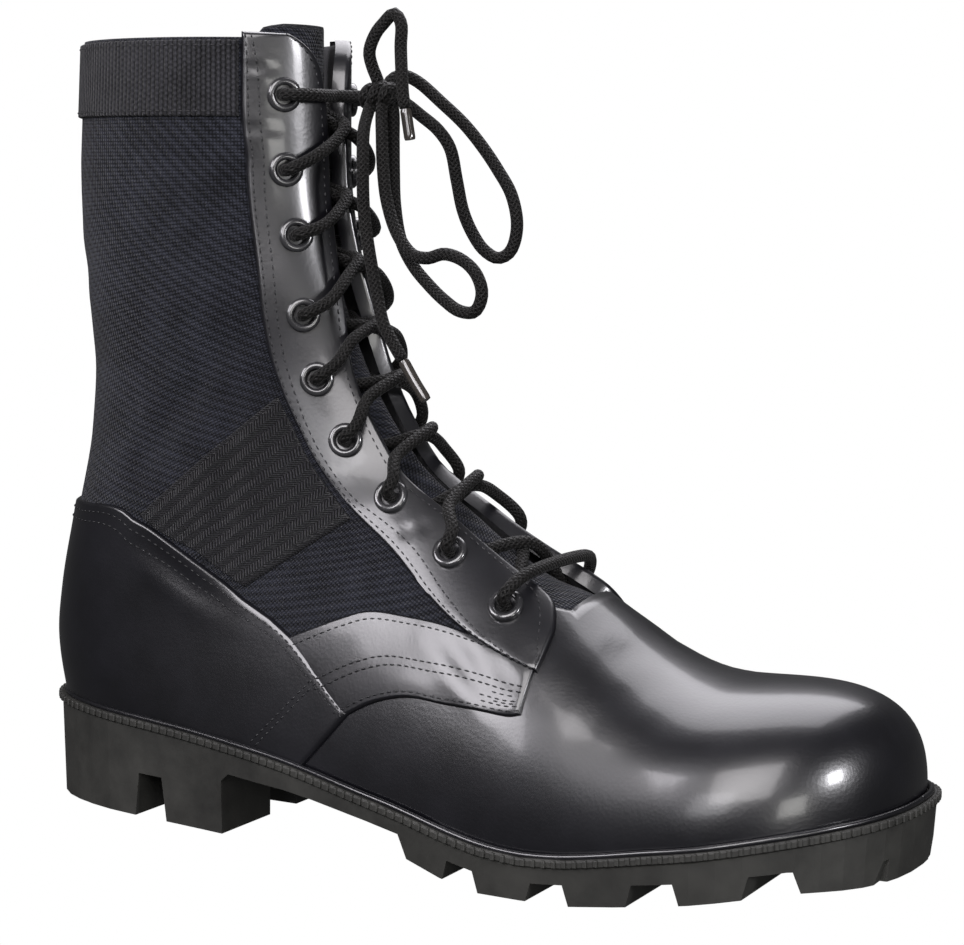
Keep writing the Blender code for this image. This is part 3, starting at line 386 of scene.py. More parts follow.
def crease_depth(station: Values, angle: Values) -> np.ndarray:
    """How far the listed creases press the face in, with a low ridge beside each.

    Args:
        station: station along the last.
        angle: angle round the section in radians, negative on the lateral side.

    Returns:
        Depths in metres, under zero on a ridge.
    """
    point = raw_surface(station, angle)
    total = np.zeros(point.shape[:-1])
    for s0, a0, s1, a1, width, depth in CREASES:
        a, b = raw_surface(s0, math.radians(a0)), raw_surface(s1, math.radians(a1))
        share = np.clip(((point - a) @ (b - a)) / ((b - a) @ (b - a)), 0, 1)
        far = np.linalg.norm(point - (a + share[..., None] * (b - a)), axis=-1) * 1000 / width
        fade = np.sin(np.pi * (FADE[0] + FADE[1] * share))
        ridge = RIDGE_HEIGHT * np.exp(-(far - RIDGE_PLACE) ** 2)
        total = total + fade * depth * 0.001 * (np.exp(-far ** 2) - ridge)
    return total


def surface(station: Values, angle: Values, lift: Values = 0.0, creased: bool = True) -> np.ndarray:
    """Point over the upper's outer face.

    Args:
        station: station along the last.
        angle: angle round the section, negative on the lateral side.
        lift: distance out along the normal, in metres.
        creased: whether the listed creases press it in.

    Returns:
        Points in the row frame.
    """
    station, angle = np.broadcast_arrays(np.asarray(station, float), np.asarray(angle, float))
    step = 1e-3
    point = raw_surface(station, angle)
    along = raw_surface(station + step, angle) - raw_surface(station - step, angle)
    round_it = raw_surface(station, angle + step) - raw_surface(station, angle - step)
    normal = np.cross(round_it, along)
    size = np.linalg.norm(normal, axis=-1)[..., None]
    outward = np.where(size > 1e-14, normal / np.maximum(size, 1e-14), np.array([1.0, 0.0, 0.0]))
    lift = np.broadcast_to(np.asarray(lift, float), station.shape)
    if creased:
        lift = lift - crease_depth(station, angle)
    return point + outward * lift[..., None] - np.array([CENTRE[0], CENTRE[1], 0.0])


# Lines of the overlays by station: half the throat's gap as a share of the ball, or degrees round the section
THROAT_EDGE: Rows = (
    (2.99, 0.171), (2.95, 0.146), (2.905, 0.123), (2.84, 0.098), (2.75, 0.078), (2.66, 0.066), (2.48, 0.053),
    (2.00, 0.042), (1.90, 0.049), (1.80, 0.069), (1.70, 0.098), (1.60, 0.102), (1.52, 0.120), (1.44, 0.146),
    (1.35, 0.176), (1.28, 0.199), (1.24, 0.214), (1.215, 0.261), (1.203, 0.326), (1.197, 0.386),
)
EYESTAY_BACK: Rows = (
    (3.00, 51.0), (2.30, 51.0), (2.00, 49.5), (1.87, 50.0), (1.81, 51.5), (1.76, 51.0), (1.71, 48.0),
    (1.66, 44.0), (1.61, 41.0), (1.55, 38.5), (1.48, 39.0), (1.39, 42.5), (1.32, 45.0), (1.25, 46.0),
    (1.205, 44.5),
)
# Eyelets from the top: station, and share of the way from the eyestay's front edge to its back edge
EYELETS: Rows = (
    (2.51, 0.57), (1.987, 0.60), (1.898, 0.55), (1.792, 0.57), (1.706, 0.55), (1.617, 0.53), (1.516, 0.45),
    (1.396, 0.45), (1.281, 0.51),
)
COUNTER_TOP: Rows = (
    (1.370, 74.0), (1.432, 69.0), (1.470, 66.5), (1.504, 65.5), (1.545, 66.5), (1.607, 74.5), (1.667, 91.5),
    (1.703, 130.0), (1.720, 180.0),
)
WING_TOP: Rows = (
    (1.480, 68.0), (1.450, 58.5), (1.425, 53.0), (1.385, 49.5), (1.340, 46.5), (1.300, 45.0), (1.250, 43.5),
    (1.204, 41.5),
)
WING_FOOT: Rows = (
    (1.376, 76.0), (1.349, 69.0), (1.317, 65.3), (1.277, 63.6), (1.235, 61.3), (1.204, 59.5), (1.190, 57.5),
)
WEBBING_FRONT: Rows = ((1.706, 49.5), (1.660, 45.5), (1.610, 42.5), (1.550, 40.0), (1.530, 40.0))
WEBBING_REAR: Rows = ((1.665, 89.0), (1.607, 73.0), (1.570, 67.5), (1.548, 65.0))
# Tongue by station: half its width as a share of the ball, and its share of the drop under the upper
TONGUE: Rows = (
    (1.10, 0.20, 0.0), (1.20, 0.27, 0.10), (1.30, 0.30, 1.0), (1.60, 0.27, 1.0), (2.00, 0.25, 1.0),
    (2.80, 0.25, 1.0), (3.05, 0.22, 1.0), (3.08, 0.16, 1.0),
)
# Front end of the throat's gap: its station, half its width, and the station where the table takes over
THROAT_STATION, THROAT_HALF, THROAT_TABLE = 1.213, 0.195, 1.23
# How far the canvas stays back behind the eyestay's edge, as a share of the ball
RECESS = 0.011
# Rows of the eyestay's flare at the collar, which the eyelets don't follow
FLARE_ROWS = 6


def gap_angle(station: Values, half_gap: Values) -> np.ndarray:
    """Angle, without sign, at which a section is half a gap away from the middle plane.

    Args:
        station: station along the last.
        half_gap: half of the gap, in metres.

    Returns:
        Angles in radians.
    """
    values = SECTION(np.clip(station, 1, 3))
    width, shift, power = values[..., 1] * LAST.ball, values[..., 3] * LAST.ball, values[..., 4]
    return np.arcsin(np.clip((half_gap + shift) / width, 0.0, 1.0) ** (power / 2))


THROAT_GAP = smooth_table(
    [(THROAT_STATION, THROAT_HALF)] + [(s, g + RECESS) for s, g in THROAT_EDGE if s > THROAT_TABLE])


def in_radians(rows: Rows) -> np.ndarray:
    """Table rows of station and degrees, as station and radians."""
    return np.array([(station, math.radians(angle)) for station, angle in rows])


EYESTAY_FRONT = np.array([(s, float(gap_angle(np.array(s), g * LAST.ball))) for s, g in THROAT_EDGE])
FRONT_ANGLE = smooth_table(EYESTAY_FRONT[FLARE_ROWS:])
BACK_ANGLE = smooth_table(in_radians(EYESTAY_BACK))


def eyelet_place(number: int, side: int) -> tuple[float, float]:
    """Station and angle of an eyelet, counted from 1 at the top.

    Args:
        number: the eyelet, counted from 1 at the top.
        side: LATERAL or MEDIAL.

    Returns:
        Its station and angle.
    """
    station, share = EYELETS[number - 1]
    a, b = float(FRONT_ANGLE(station)), float(BACK_ANGLE(station))
    return station, side * (a + (b - a) * share)


class Nodes:
    """Short ways to add and link shader nodes of one material."""

    def __init__(self, name: str, colour: Sequence[float], roughness: float, **sockets: float) -> None:
        """Make a Principled material with plain socket values.

        Args:
            name: the material's name.
            colour: its base colour.
            roughness: its roughness.
            sockets: values of other sockets, by their names in lower case.
        """
        self.material = bpy.data.materials.new(name)
        self.material.use_nodes = True
        self.tree = self.material.node_tree
        self.shader = self.tree.nodes["Principled BSDF"]
        self.shader.inputs["Base Color"].default_value = (*colour, 1.0)
        self.shader.inputs["Roughness"].default_value = roughness
        for socket, value in sockets.items():
            self.shader.inputs[socket.replace("_", " ").title().replace("Ior", "IOR")].default_value = value

    def add(self, kind: str, **values: float | str) -> bpy.types.Node:
        """Add a node and set its properties and input values.

        Args:
            kind: the node's type.
            values: its properties and input values, by name.

        Returns:
            The node.
        """
        node = self.tree.nodes.new(kind)
        for key, value in values.items():
            if hasattr(node, key):
                setattr(node, key, value)
            else:
                node.inputs[key.replace("_", " ")].default_value = value
        return node

    def link(self, source: Socket, target: Socket) -> None:
        """Link two sockets."""
        self.tree.links.new(source, target)

    def math(self, operation: str, a: Socket | float, b: Socket | float | None = None) -> Socket:
        """Math node on sockets or numbers.

        Args:
            operation: what the node does.
            a: first socket or number.
            b: second one, where it takes two.

        Returns:
            The result's socket.
        """
        node = self.add("ShaderNodeMath", operation=operation)
        for socket, value in zip(node.inputs, (a, b)):
            if value is None:
                continue
            if isinstance(value, (int, float)):
                socket.default_value = value
            else:
                self.link(value, socket)
        return node.outputs[0]

    def uv(self) -> tuple[Socket, Socket]:
        """The piece's own UV in millimetres, as two sockets.

        Returns:
            Sockets of the two directions.
        """
        source = self.add("ShaderNodeUVMap", uv_map="cloth")
        split = self.add("ShaderNodeSeparateXYZ")
        self.link(source.outputs[0], split.inputs[0])
        return split.outputs[0], split.outputs[1]

    def noise(self, scale: float, detail: float = 3.0, rough: float = 0.5) -> Socket:
        """Noise on object coordinates.

        Args:
            scale: the noise's scale.
            detail: its detail.
            rough: its roughness.

        Returns:
            The noise's socket.
        """
        where = self.add("ShaderNodeTexCoord")
        node = self.add("ShaderNodeTexNoise", Scale=scale, Detail=detail, Roughness=rough)
        self.link(where.outputs["Object"], node.inputs["Vector"])
        return node.outputs["Fac"]

    def cells(self, scale: float) -> Socket:
        """Distance to the nearest point of a cell pattern on object coordinates.

        Args:
            scale: the pattern's scale.

        Returns:
            The distance's socket.
        """
        where = self.add("ShaderNodeTexCoord")
        node = self.add("ShaderNodeTexVoronoi", Scale=scale)
        self.link(where.outputs["Object"], node.inputs["Vector"])
        return node.outputs["Distance"]

    def between(self, value: Socket, low: float, high: float, socket: str) -> None:
        """Drive a socket of the shader by a value mapped from 0..1 to low..high.

        Args:
            value: socket that runs from 0 to 1.
            low: the shader's value at 0.
            high: its value at 1.
            socket: the shader's socket.
        """
        node = self.add("ShaderNodeMapRange", To_Min=low, To_Max=high)
        self.link(value, node.inputs["Value"])
        self.link(node.outputs[0], self.shader.inputs[socket])

    def tint(self, value: Socket, low: Sequence[float], high: Sequence[float], start: float,
             end: float) -> None:
        """Colour the base between two colours by a value.

        Args:
            value: socket that the colour follows.
            low: colour up to the start.
            high: colour from the end on.
            start: value where the change starts.
            end: value where it ends.
        """
        ramp = self.add("ShaderNodeValToRGB")
        ramp.color_ramp.elements[0].position, ramp.color_ramp.elements[1].position = start, end
        ramp.color_ramp.elements[0].color, ramp.color_ramp.elements[1].color = (*low, 1), (*high, 1)
        self.link(value, ramp.inputs[0])
        self.link(ramp.outputs[0], self.shader.inputs["Base Color"])

    def bump(self, layers: Sequence[tuple]) -> None:
        """Stack bumps, each a height socket and its depth in metres.

        Args:
            layers: height sockets with their depths in metres.
        """
        last = None
        for height, depth in layers:
            node = self.add("ShaderNodeBump", Distance=depth, Strength=1.0)
            self.link(height, node.inputs["Height"])
            if last is not None:
                self.link(last, node.inputs["Normal"])
            last = node.outputs[0]
        self.link(last, self.shader.inputs["Normal"])


@dataclass(frozen=True)
class Leather:
    """Polished smooth leather with a fine grain, scuffs and cloudy gloss."""

    name: str = "black_leather"
    colour: tuple = (0.0022, 0.0022, 0.0032)
    roughness: tuple = (0.27, 0.37)
    grain: float = 0.000018

    def make(self) -> bpy.types.Material:
        """Build the material.

        Returns:
            The material.
        """
        n = Nodes(self.name, self.colour, 0.3, coat_weight=0.35, coat_roughness=0.12, specular_ior_level=0.55)
        cloud, fine = n.noise(38.0, 4.0, 0.6), n.noise(1500.0, 2.0)
        n.between(cloud, *self.roughness, "Roughness")
        n.tint(cloud, self.colour, tuple(1.9 * c for c in self.colour), 0.35, 0.75)
        n.bump([(n.cells(900.0), self.grain), (fine, self.grain * 0.6), (n.noise(60.0, 2.0), 0.00012)])
        return n.material


class Weave(Enum):
    """Ways that a woven face is laid."""

    PLAIN = "plain"
    RIBS = "ribs"
    HERRINGBONE = "herringbone"
    BRAID = "braid"


@dataclass(frozen=True)
class Cloth:
    """Woven face from the piece's own UV in millimetres."""

    name: str
    weave: Weave
    colour: tuple
    light: tuple
    pitch: float
    depth: float
    roughness: float = 0.8
    sheen: float = 0.08

    def make(self) -> bpy.types.Material:
        """Build the material.

        Returns:
            The material.
        """
        n = Nodes(self.name, self.colour, self.roughness, sheen_weight=self.sheen, sheen_roughness=0.4,
                  specular_ior_level=0.12)
        u, v = n.uv()
        turn = 2 * math.pi / self.pitch
        if self.weave is Weave.PLAIN:
            height = n.math("MULTIPLY", n.math("SINE", n.math("MULTIPLY", u, turn / 2)),
                            n.math("SINE", n.math("MULTIPLY", v, turn / 2)))
            height = n.math("ABSOLUTE", height)
            across = n.math("SINE", n.math("MULTIPLY", n.math("ADD", u, v), turn / 4))
            height = n.math("ADD", height, n.math("MULTIPLY", across, 0.25))
        elif self.weave is Weave.RIBS:
            u, v = v, u
            rib = n.math("ABSOLUTE", n.math("SINE", n.math("MULTIPLY", u, turn / 2)))
            number = n.math("FLOOR", n.math("DIVIDE", u, self.pitch))
            shifted = n.math("ADD", n.math("MULTIPLY", v, turn * 0.9), n.math("MULTIPLY", number, 3.14))
            dash = n.math("SINE", shifted)
            height = n.math("ADD", rib, n.math("MULTIPLY", dash, 0.22))
        elif self.weave is Weave.HERRINGBONE:
            zig = n.math("PINGPONG", v, self.pitch * 2.2)
            height = n.math("SINE", n.math("MULTIPLY", n.math("ADD", u, zig), turn))
        else:
            one = n.math("SINE", n.math("MULTIPLY", n.math("ADD", u, v), turn))
            two = n.math("SINE", n.math("MULTIPLY", n.math("SUBTRACT", u, v), turn))
            height = n.math("MAXIMUM", one, two)
        wear = n.math("MULTIPLY", n.noise(70.0, 5.0, 0.65), 0.7)
        shade = n.math("ADD", n.math("MULTIPLY", height, 0.45), wear)
        n.tint(shade, self.colour, self.light, 0.32, 0.95)
        n.bump([(height, self.depth), (n.noise(1400.0, 2.0), self.depth * 0.5)])
        return n.material


@dataclass(frozen=True)
class Plain:
    """Moulded rubber, metal, plastic or thread with a light texture."""

    name: str
    colour: tuple
    light: tuple
    roughness: tuple
    scale: float = 300.0
    depth: float = 0.00005
    coat: float = 0.0
    transmission: float = 0.0

    def make(self) -> bpy.types.Material:
        """Build the material.

        Returns:
            The material.
        """
        n = Nodes(self.name, self.colour, self.roughness[0], coat_weight=self.coat,
                  transmission_weight=self.transmission)
        cloud = n.noise(45.0, 5.0, 0.65)
        n.between(cloud, *self.roughness, "Roughness")
        n.tint(cloud, self.colour, self.light, 0.3, 0.75)
        n.bump([(n.noise(self.scale, 4.0, 0.6), self.depth)])
        return n.material


@dataclass(frozen=True)
class Finishes:
    """All finishes of the boot."""

    leather: bpy.types.Material
    canvas: bpy.types.Material
    ribs: bpy.types.Material
    herringbone: bpy.types.Material
    rubber: bpy.types.Material
    lining: bpy.types.Material
    enamel: bpy.types.Material
    cord: bpy.types.Material
    clear: bpy.types.Material
    thread: bpy.types.Material

    @classmethod
    def make(cls) -> "Finishes":
        """Build every material once.

        Returns:
            The finishes.
        """
        return cls(
            leather=Leather().make(),
            canvas=Cloth("black_canvas", Weave.PLAIN, (0.0008, 0.001, 0.002), (0.024, 0.026, 0.036), 1.15,
                         0.00045, 0.78).make(),
            ribs=Cloth("black_webbing", Weave.RIBS, (0.0006, 0.0006, 0.0008), (0.024, 0.024, 0.028), 1.6,
                       0.00055, 0.70).make(),
            herringbone=Cloth("black_herringbone", Weave.HERRINGBONE, (0.0006, 0.0006, 0.001),
                              (0.022, 0.022, 0.027), 1.1, 0.00035, 0.70).make(),
            rubber=Plain("black_rubber", (0.010, 0.010, 0.009), (0.026, 0.026, 0.023), (0.45, 0.65)).make(),
            lining=Plain("grey_lining", (0.022, 0.022, 0.024), (0.045, 0.045, 0.048), (0.85, 0.95), 900.0,
                         0.0002).make(),
            enamel=Plain("blackened_metal", (0.012, 0.012, 0.013), (0.030, 0.030, 0.032), (0.16, 0.30), 500.0,
                         0.00002, coat=0.6).make(),
            cord=Cloth("black_cord", Weave.BRAID, (0.001, 0.001, 0.001), (0.008, 0.0075, 0.007), 1.7, 0.00018,
                       0.48, 0.05).make(),
            clear=Plain("clear_plastic", (0.02, 0.018, 0.016), (0.05, 0.045, 0.04), (0.08, 0.16), coat=0.6,
                        transmission=0.35).make(),
            thread=Plain("black_thread", (0.002, 0.002, 0.003), (0.007, 0.007, 0.009), (0.45, 0.6), 1600.0,
                         0.00004).make(),
        )


def finish_piece(name: str, bm: bmesh.types.BMesh, look: bpy.types.Material,
                 stands_for: Sequence[str] = (), sharp: float = 50.0) -> bpy.types.Object:
    """Turn a bmesh into a piece of the boot.

    Args:
        name: the piece's name.
        bm: its mesh, in the row frame.
        look: its material.
        stands_for: CAD nodes that it replaces.
        sharp: angle in degrees above which an edge stays sharp.

    Returns:
        The new object.
    """
    mesh = bpy.data.meshes.new(name)
    bm.to_mesh(mesh)
    bm.free()
    mesh.materials.append(look)
    mesh.shade_smooth()
    mesh.set_sharp_from_angle(angle=math.radians(sharp))
    made = bpy.data.objects.new(name, mesh)
    bpy.context.scene.collection.objects.link(made)
    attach(made, "root")
    if stands_for:
        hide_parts(*stands_for)
    LOG.info("piece %s", name)
    return made


def mapped_grid(points: np.ndarray, cloth: np.ndarray) -> tuple[bmesh.types.BMesh, dict]:
    """Grid whose vertices are moved to an array of points and whose UV is given in millimetres.

    Args:
        points: rows by columns by 3, in metres.
        cloth: rows by columns by 2, in millimetres.

    Returns:
        The mesh, and the first row and column of each face.
    """
    rows, columns = points.shape[:2]
    bm = bmesh.new()
    made = bmesh.ops.create_grid(bm, x_segments=columns - 1, y_segments=rows - 1, size=1.0)
    layer = bm.loops.layers.uv.new("cloth")
    place = {}
    for vert in made["verts"]:
        j = round((vert.co.x + 1) / 2 * (columns - 1))
        i = round((vert.co.y + 1) / 2 * (rows - 1))
        place[vert] = (i, j)
    for face in bm.faces:
        for loop in face.loops:
            loop[layer].uv = cloth[place[loop.vert]]
    cells = {face: tuple(min(place[v][k] for v in face.verts) for k in (0, 1)) for face in bm.faces}
    for vert, spot in place.items():
        vert.co = points[spot]
    return bm, cells


def arc_uv(points: np.ndarray) -> np.ndarray:
    """Arc lengths along the columns and the rows of a grid of points, in millimetres, even over the grid.

    Args:
        points: rows by columns by 3, in metres.

    Returns:
        Rows by columns by 2, in millimetres.
    """
    across = np.linalg.norm(np.diff(points, axis=1), axis=2)
    along = np.linalg.norm(np.diff(points, axis=0), axis=2)
    u = np.concatenate([np.zeros((points.shape[0], 1)), np.cumsum(across, 1)], 1)
    v = np.concatenate([np.zeros((1, points.shape[1])), np.cumsum(along, 0)], 0)
    u = u - u[:, -1:] if points.shape[1] > 2 else u
    return np.stack([u, np.broadcast_to(v.mean(1)[:, None], v.shape)], -1) * 1000


def face_out(bm: bmesh.types.BMesh, hint: Vector) -> None:
    """Turn a sheet so that its normals run from a point inside of it.

    Args:
        bm: the sheet's mesh.
        hint: a point inside of it.
    """
    bm.normal_update()
    score = sum(f.normal.dot(f.calc_center_median() - hint) * f.calc_area() for f in bm.faces)
    if score < 0:
        bmesh.ops.reverse_faces(bm, faces=bm.faces)


def edged(length: float, count: int, edge: float) -> np.ndarray:
    """Shares of a length, close together within an edge's width of both ends."""
    near = np.array([0.0, 0.04, 0.16, 0.40, 0.72, 1.0]) * min(edge / length, 0.2)
    return np.concatenate([near, np.linspace(near[-1], 1 - near[-1], count)[1:-1], 1 - near[::-1]])


@dataclass(frozen=True)
class Panel:
    """Leather or webbing panel over the upper, with rounded folded edges.

    Attributes:
        base: lift of its underside over the upper.
        thickness: its thickness.
        roll: width over which its edges round off.
        hem: how far its first edge is turned down, past the upper's own edge.
        puff: how far its middle stands up more than its edges.
        runs_on: whether its last end meets its mirror image and stays flat.
        tuck: how far its rim goes under its base.
        swell: distance from the rim at which the puff is whole.
        inward: step from the medial panel's middle to a place inside the boot.
    """

    name: str
    base: float = 0.0002
    thickness: float = 0.0012
    roll: float = 0.0010
    hem: float = 0.0
    puff: float = 0.0
    runs_on: bool = False
    tuck: float = 0.0004
    swell: float = 0.006
    inward: tuple = (-0.03, -0.05, -0.02)

    def points(self, edge_a: np.ndarray, edge_b: np.ndarray, side: int, rows: int,
               columns: int) -> np.ndarray:
        """Grid of points between two edges, each read at the same shares of its length.

        Args:
            edge_a: first edge, as stations and angles.
            edge_b: other edge, in the same order.
            side: LATERAL or MEDIAL.
            rows: places along the edges.
            columns: places between them.

        Returns:
            Rows by columns by 3, in metres.
        """
        line = surface(edge_a[:, 0], edge_a[:, 1], creased=False)
        length = length_of(line)
        width = np.linalg.norm(surface(*edge_a[len(edge_a) // 2]) - surface(*edge_b[len(edge_b) // 2]))
        down, across = edged(length, rows, self.roll), edged(max(width, 0.006), columns, self.roll)
        fine = 400
        a, b = spline_route(edge_a, fine), spline_route(edge_b, fine)
        spots = np.linspace(0, 1, fine)
        a = np.stack([np.interp(down, spots, a[:, k]) for k in (0, 1)], 1)
        b = np.stack([np.interp(down, spots, b[:, k]) for k in (0, 1)], 1)
        grid = a[:, None] * (1 - across[None, :, None]) + b[:, None] * across[None, :, None]
        flat = surface(grid[..., 0], side * grid[..., 1], 0.0, False)
        far = np.stack([
            np.linalg.norm(flat - flat[:1], axis=2), np.linalg.norm(flat - flat[-1:], axis=2),
            np.linalg.norm(flat - flat[:, :1], axis=2), np.linalg.norm(flat - flat[:, -1:], axis=2),
        ])
        if self.runs_on:
            far[1] = self.roll + 0.01
        near = np.clip(far.min(0) / self.roll, 0, 1)
        lift = self.base - self.tuck + (self.thickness + self.tuck) * np.sqrt(1 - (1 - near) ** 2)
        lift = lift + self.puff * np.clip(far.min(0) / self.swell, 0, 1)
        if self.hem:
            lift[:, 0] -= self.hem
        return surface(grid[..., 0], side * grid[..., 1], lift)

    def build(self, edge_a: np.ndarray, edge_b: np.ndarray, side: int, rows: int, columns: int,
              look: bpy.types.Material, slot: Slot, stands_for: Sequence[str]) -> bpy.types.Object:
        """Model the panel on one side of the boot.

        Args:
            edge_a: first edge, as stations and angles.
            edge_b: other edge, in the same order.
            side: LATERAL or MEDIAL.
            rows: places along the edges.
            columns: places between them.
            look: its material.
            slot: not used.
            stands_for: CAD nodes that it replaces.

        Returns:
            The panel.
        """
        points = self.points(edge_a, edge_b, side, rows, columns)
        bm, _ = mapped_grid(points, arc_uv(points))
        x, y, z = self.inward
        face_out(bm, Vector(points.mean((0, 1))) + Vector((x, y * side, z)))
        return finish_piece(self.name, bm, look, stands_for)


@dataclass(frozen=True)
class Stitching:
    """Row of sewn stitches along a line of stations and angles."""

    pitch: float = 0.0027
    length: float = 0.0019
    thick: float = 0.00055

    def build(self, name: str, rows: np.ndarray, side: int, lift: float, look: bpy.types.Material) -> None:
        """Sew a row.

        Args:
            name: the piece's name.
            rows: stations and angles of the line.
            side: which side of the boot.
            lift: height of the face that it is sewn in.
            look: the thread's material.
        """
        line, step = spline_route(rows, 300), 0.0005
        points = surface(line[:, 0], side * line[:, 1], lift)
        over = surface(line[:, 0], side * line[:, 1], lift + 0.001)
        run = run_along(points)

        def read(spot: float, row: np.ndarray) -> Vector:
            """Place on a row at a length along the seam."""
            return Vector([np.interp(spot, run, row[:, k]) for k in range(3)])

        bm = bmesh.new()
        for spot in np.arange(self.pitch / 2, run[-1], self.pitch):
            place = read(spot, points)
            up = read(spot, over) - place
            along = read(min(spot + step, run[-1]), points) - read(max(spot - step, 0), points)
            along.normalize()
            up = (up - along * up.dot(along)).normalized()
            turn = Matrix((along, up.cross(along), up)).transposed().to_4x4()
            size = Matrix.Diagonal((self.length / 2, self.thick / 2, self.thick / 2, 1.0))
            stitch = Matrix.Translation(place) @ turn @ size
            bmesh.ops.create_icosphere(bm, subdivisions=1, radius=1.0, matrix=stitch)
        finish_piece(name, bm, look, sharp=180.0)


def offset_line(edge: np.ndarray, other: np.ndarray, share: float, start: float = 0.0,
                end: float = 1.0) -> np.ndarray:
    """Line at a share of the way from one edge to another, cut to part of its length.

    Args:
        edge: first edge, as stations and angles.
        other: other edge.
        share: share of the way to the other edge.
        start: share of the length where the line starts.
        end: share where it ends.

    Returns:
        The line's stations and angles.
    """
    last = 59
    a, b = spline_route(edge, last + 1), spline_route(other, last + 1)
    line = a * (1 - share) + b * share
    return line[round(start * last):round(end * last) + 1]


def tube_mesh(points: np.ndarray, radius: float, sides: int = 12) -> bmesh.types.BMesh:
    """Closed round tube along points, with its UV in millimetres along and round it.

    Args:
        points: middle line in metres.
        radius: the tube's radius.
        sides: how many sides it has.

    Returns:
        The mesh.
    """
    tangent = np.gradient(points, axis=0)
    tangent /= np.linalg.norm(tangent, axis=1)[:, None]
    normal = np.cross(tangent[0], [0.13, 0.97, 0.21])
    normal /= np.linalg.norm(normal)
    normals = []
    for t in tangent:
        normal = normal - t * (normal @ t)
        normal /= np.linalg.norm(normal)
        normals.append(normal)
    normals = np.array(normals)
    sideways = np.cross(tangent, normals)
    run = run_along(points)
    caps = (0.0, 0.6, 0.9)
    order = [(0, share) for share in caps] + [(k, 1.0) for k in range(1, len(points) - 1)]
    order += [(len(points) - 1, share) for share in reversed(caps)]
    around = np.linspace(0, 2 * math.pi, sides + 1)
    rings, cloth = [], []
    for k, share in order:
        ring = points[k] + radius * share * (
            np.cos(around)[:, None] * normals[k] + np.sin(around)[:, None] * sideways[k])
        rings.append(ring)
        cloth.append(np.stack([np.full(sides + 1, run[k]), around * radius], 1) * 1000)
    bm, _ = mapped_grid(np.array(rings), np.array(cloth))
    bmesh.ops.remove_doubles(bm, verts=bm.verts, dist=1e-6)
    bmesh.ops.recalc_face_normals(bm, faces=bm.faces)
    return bm


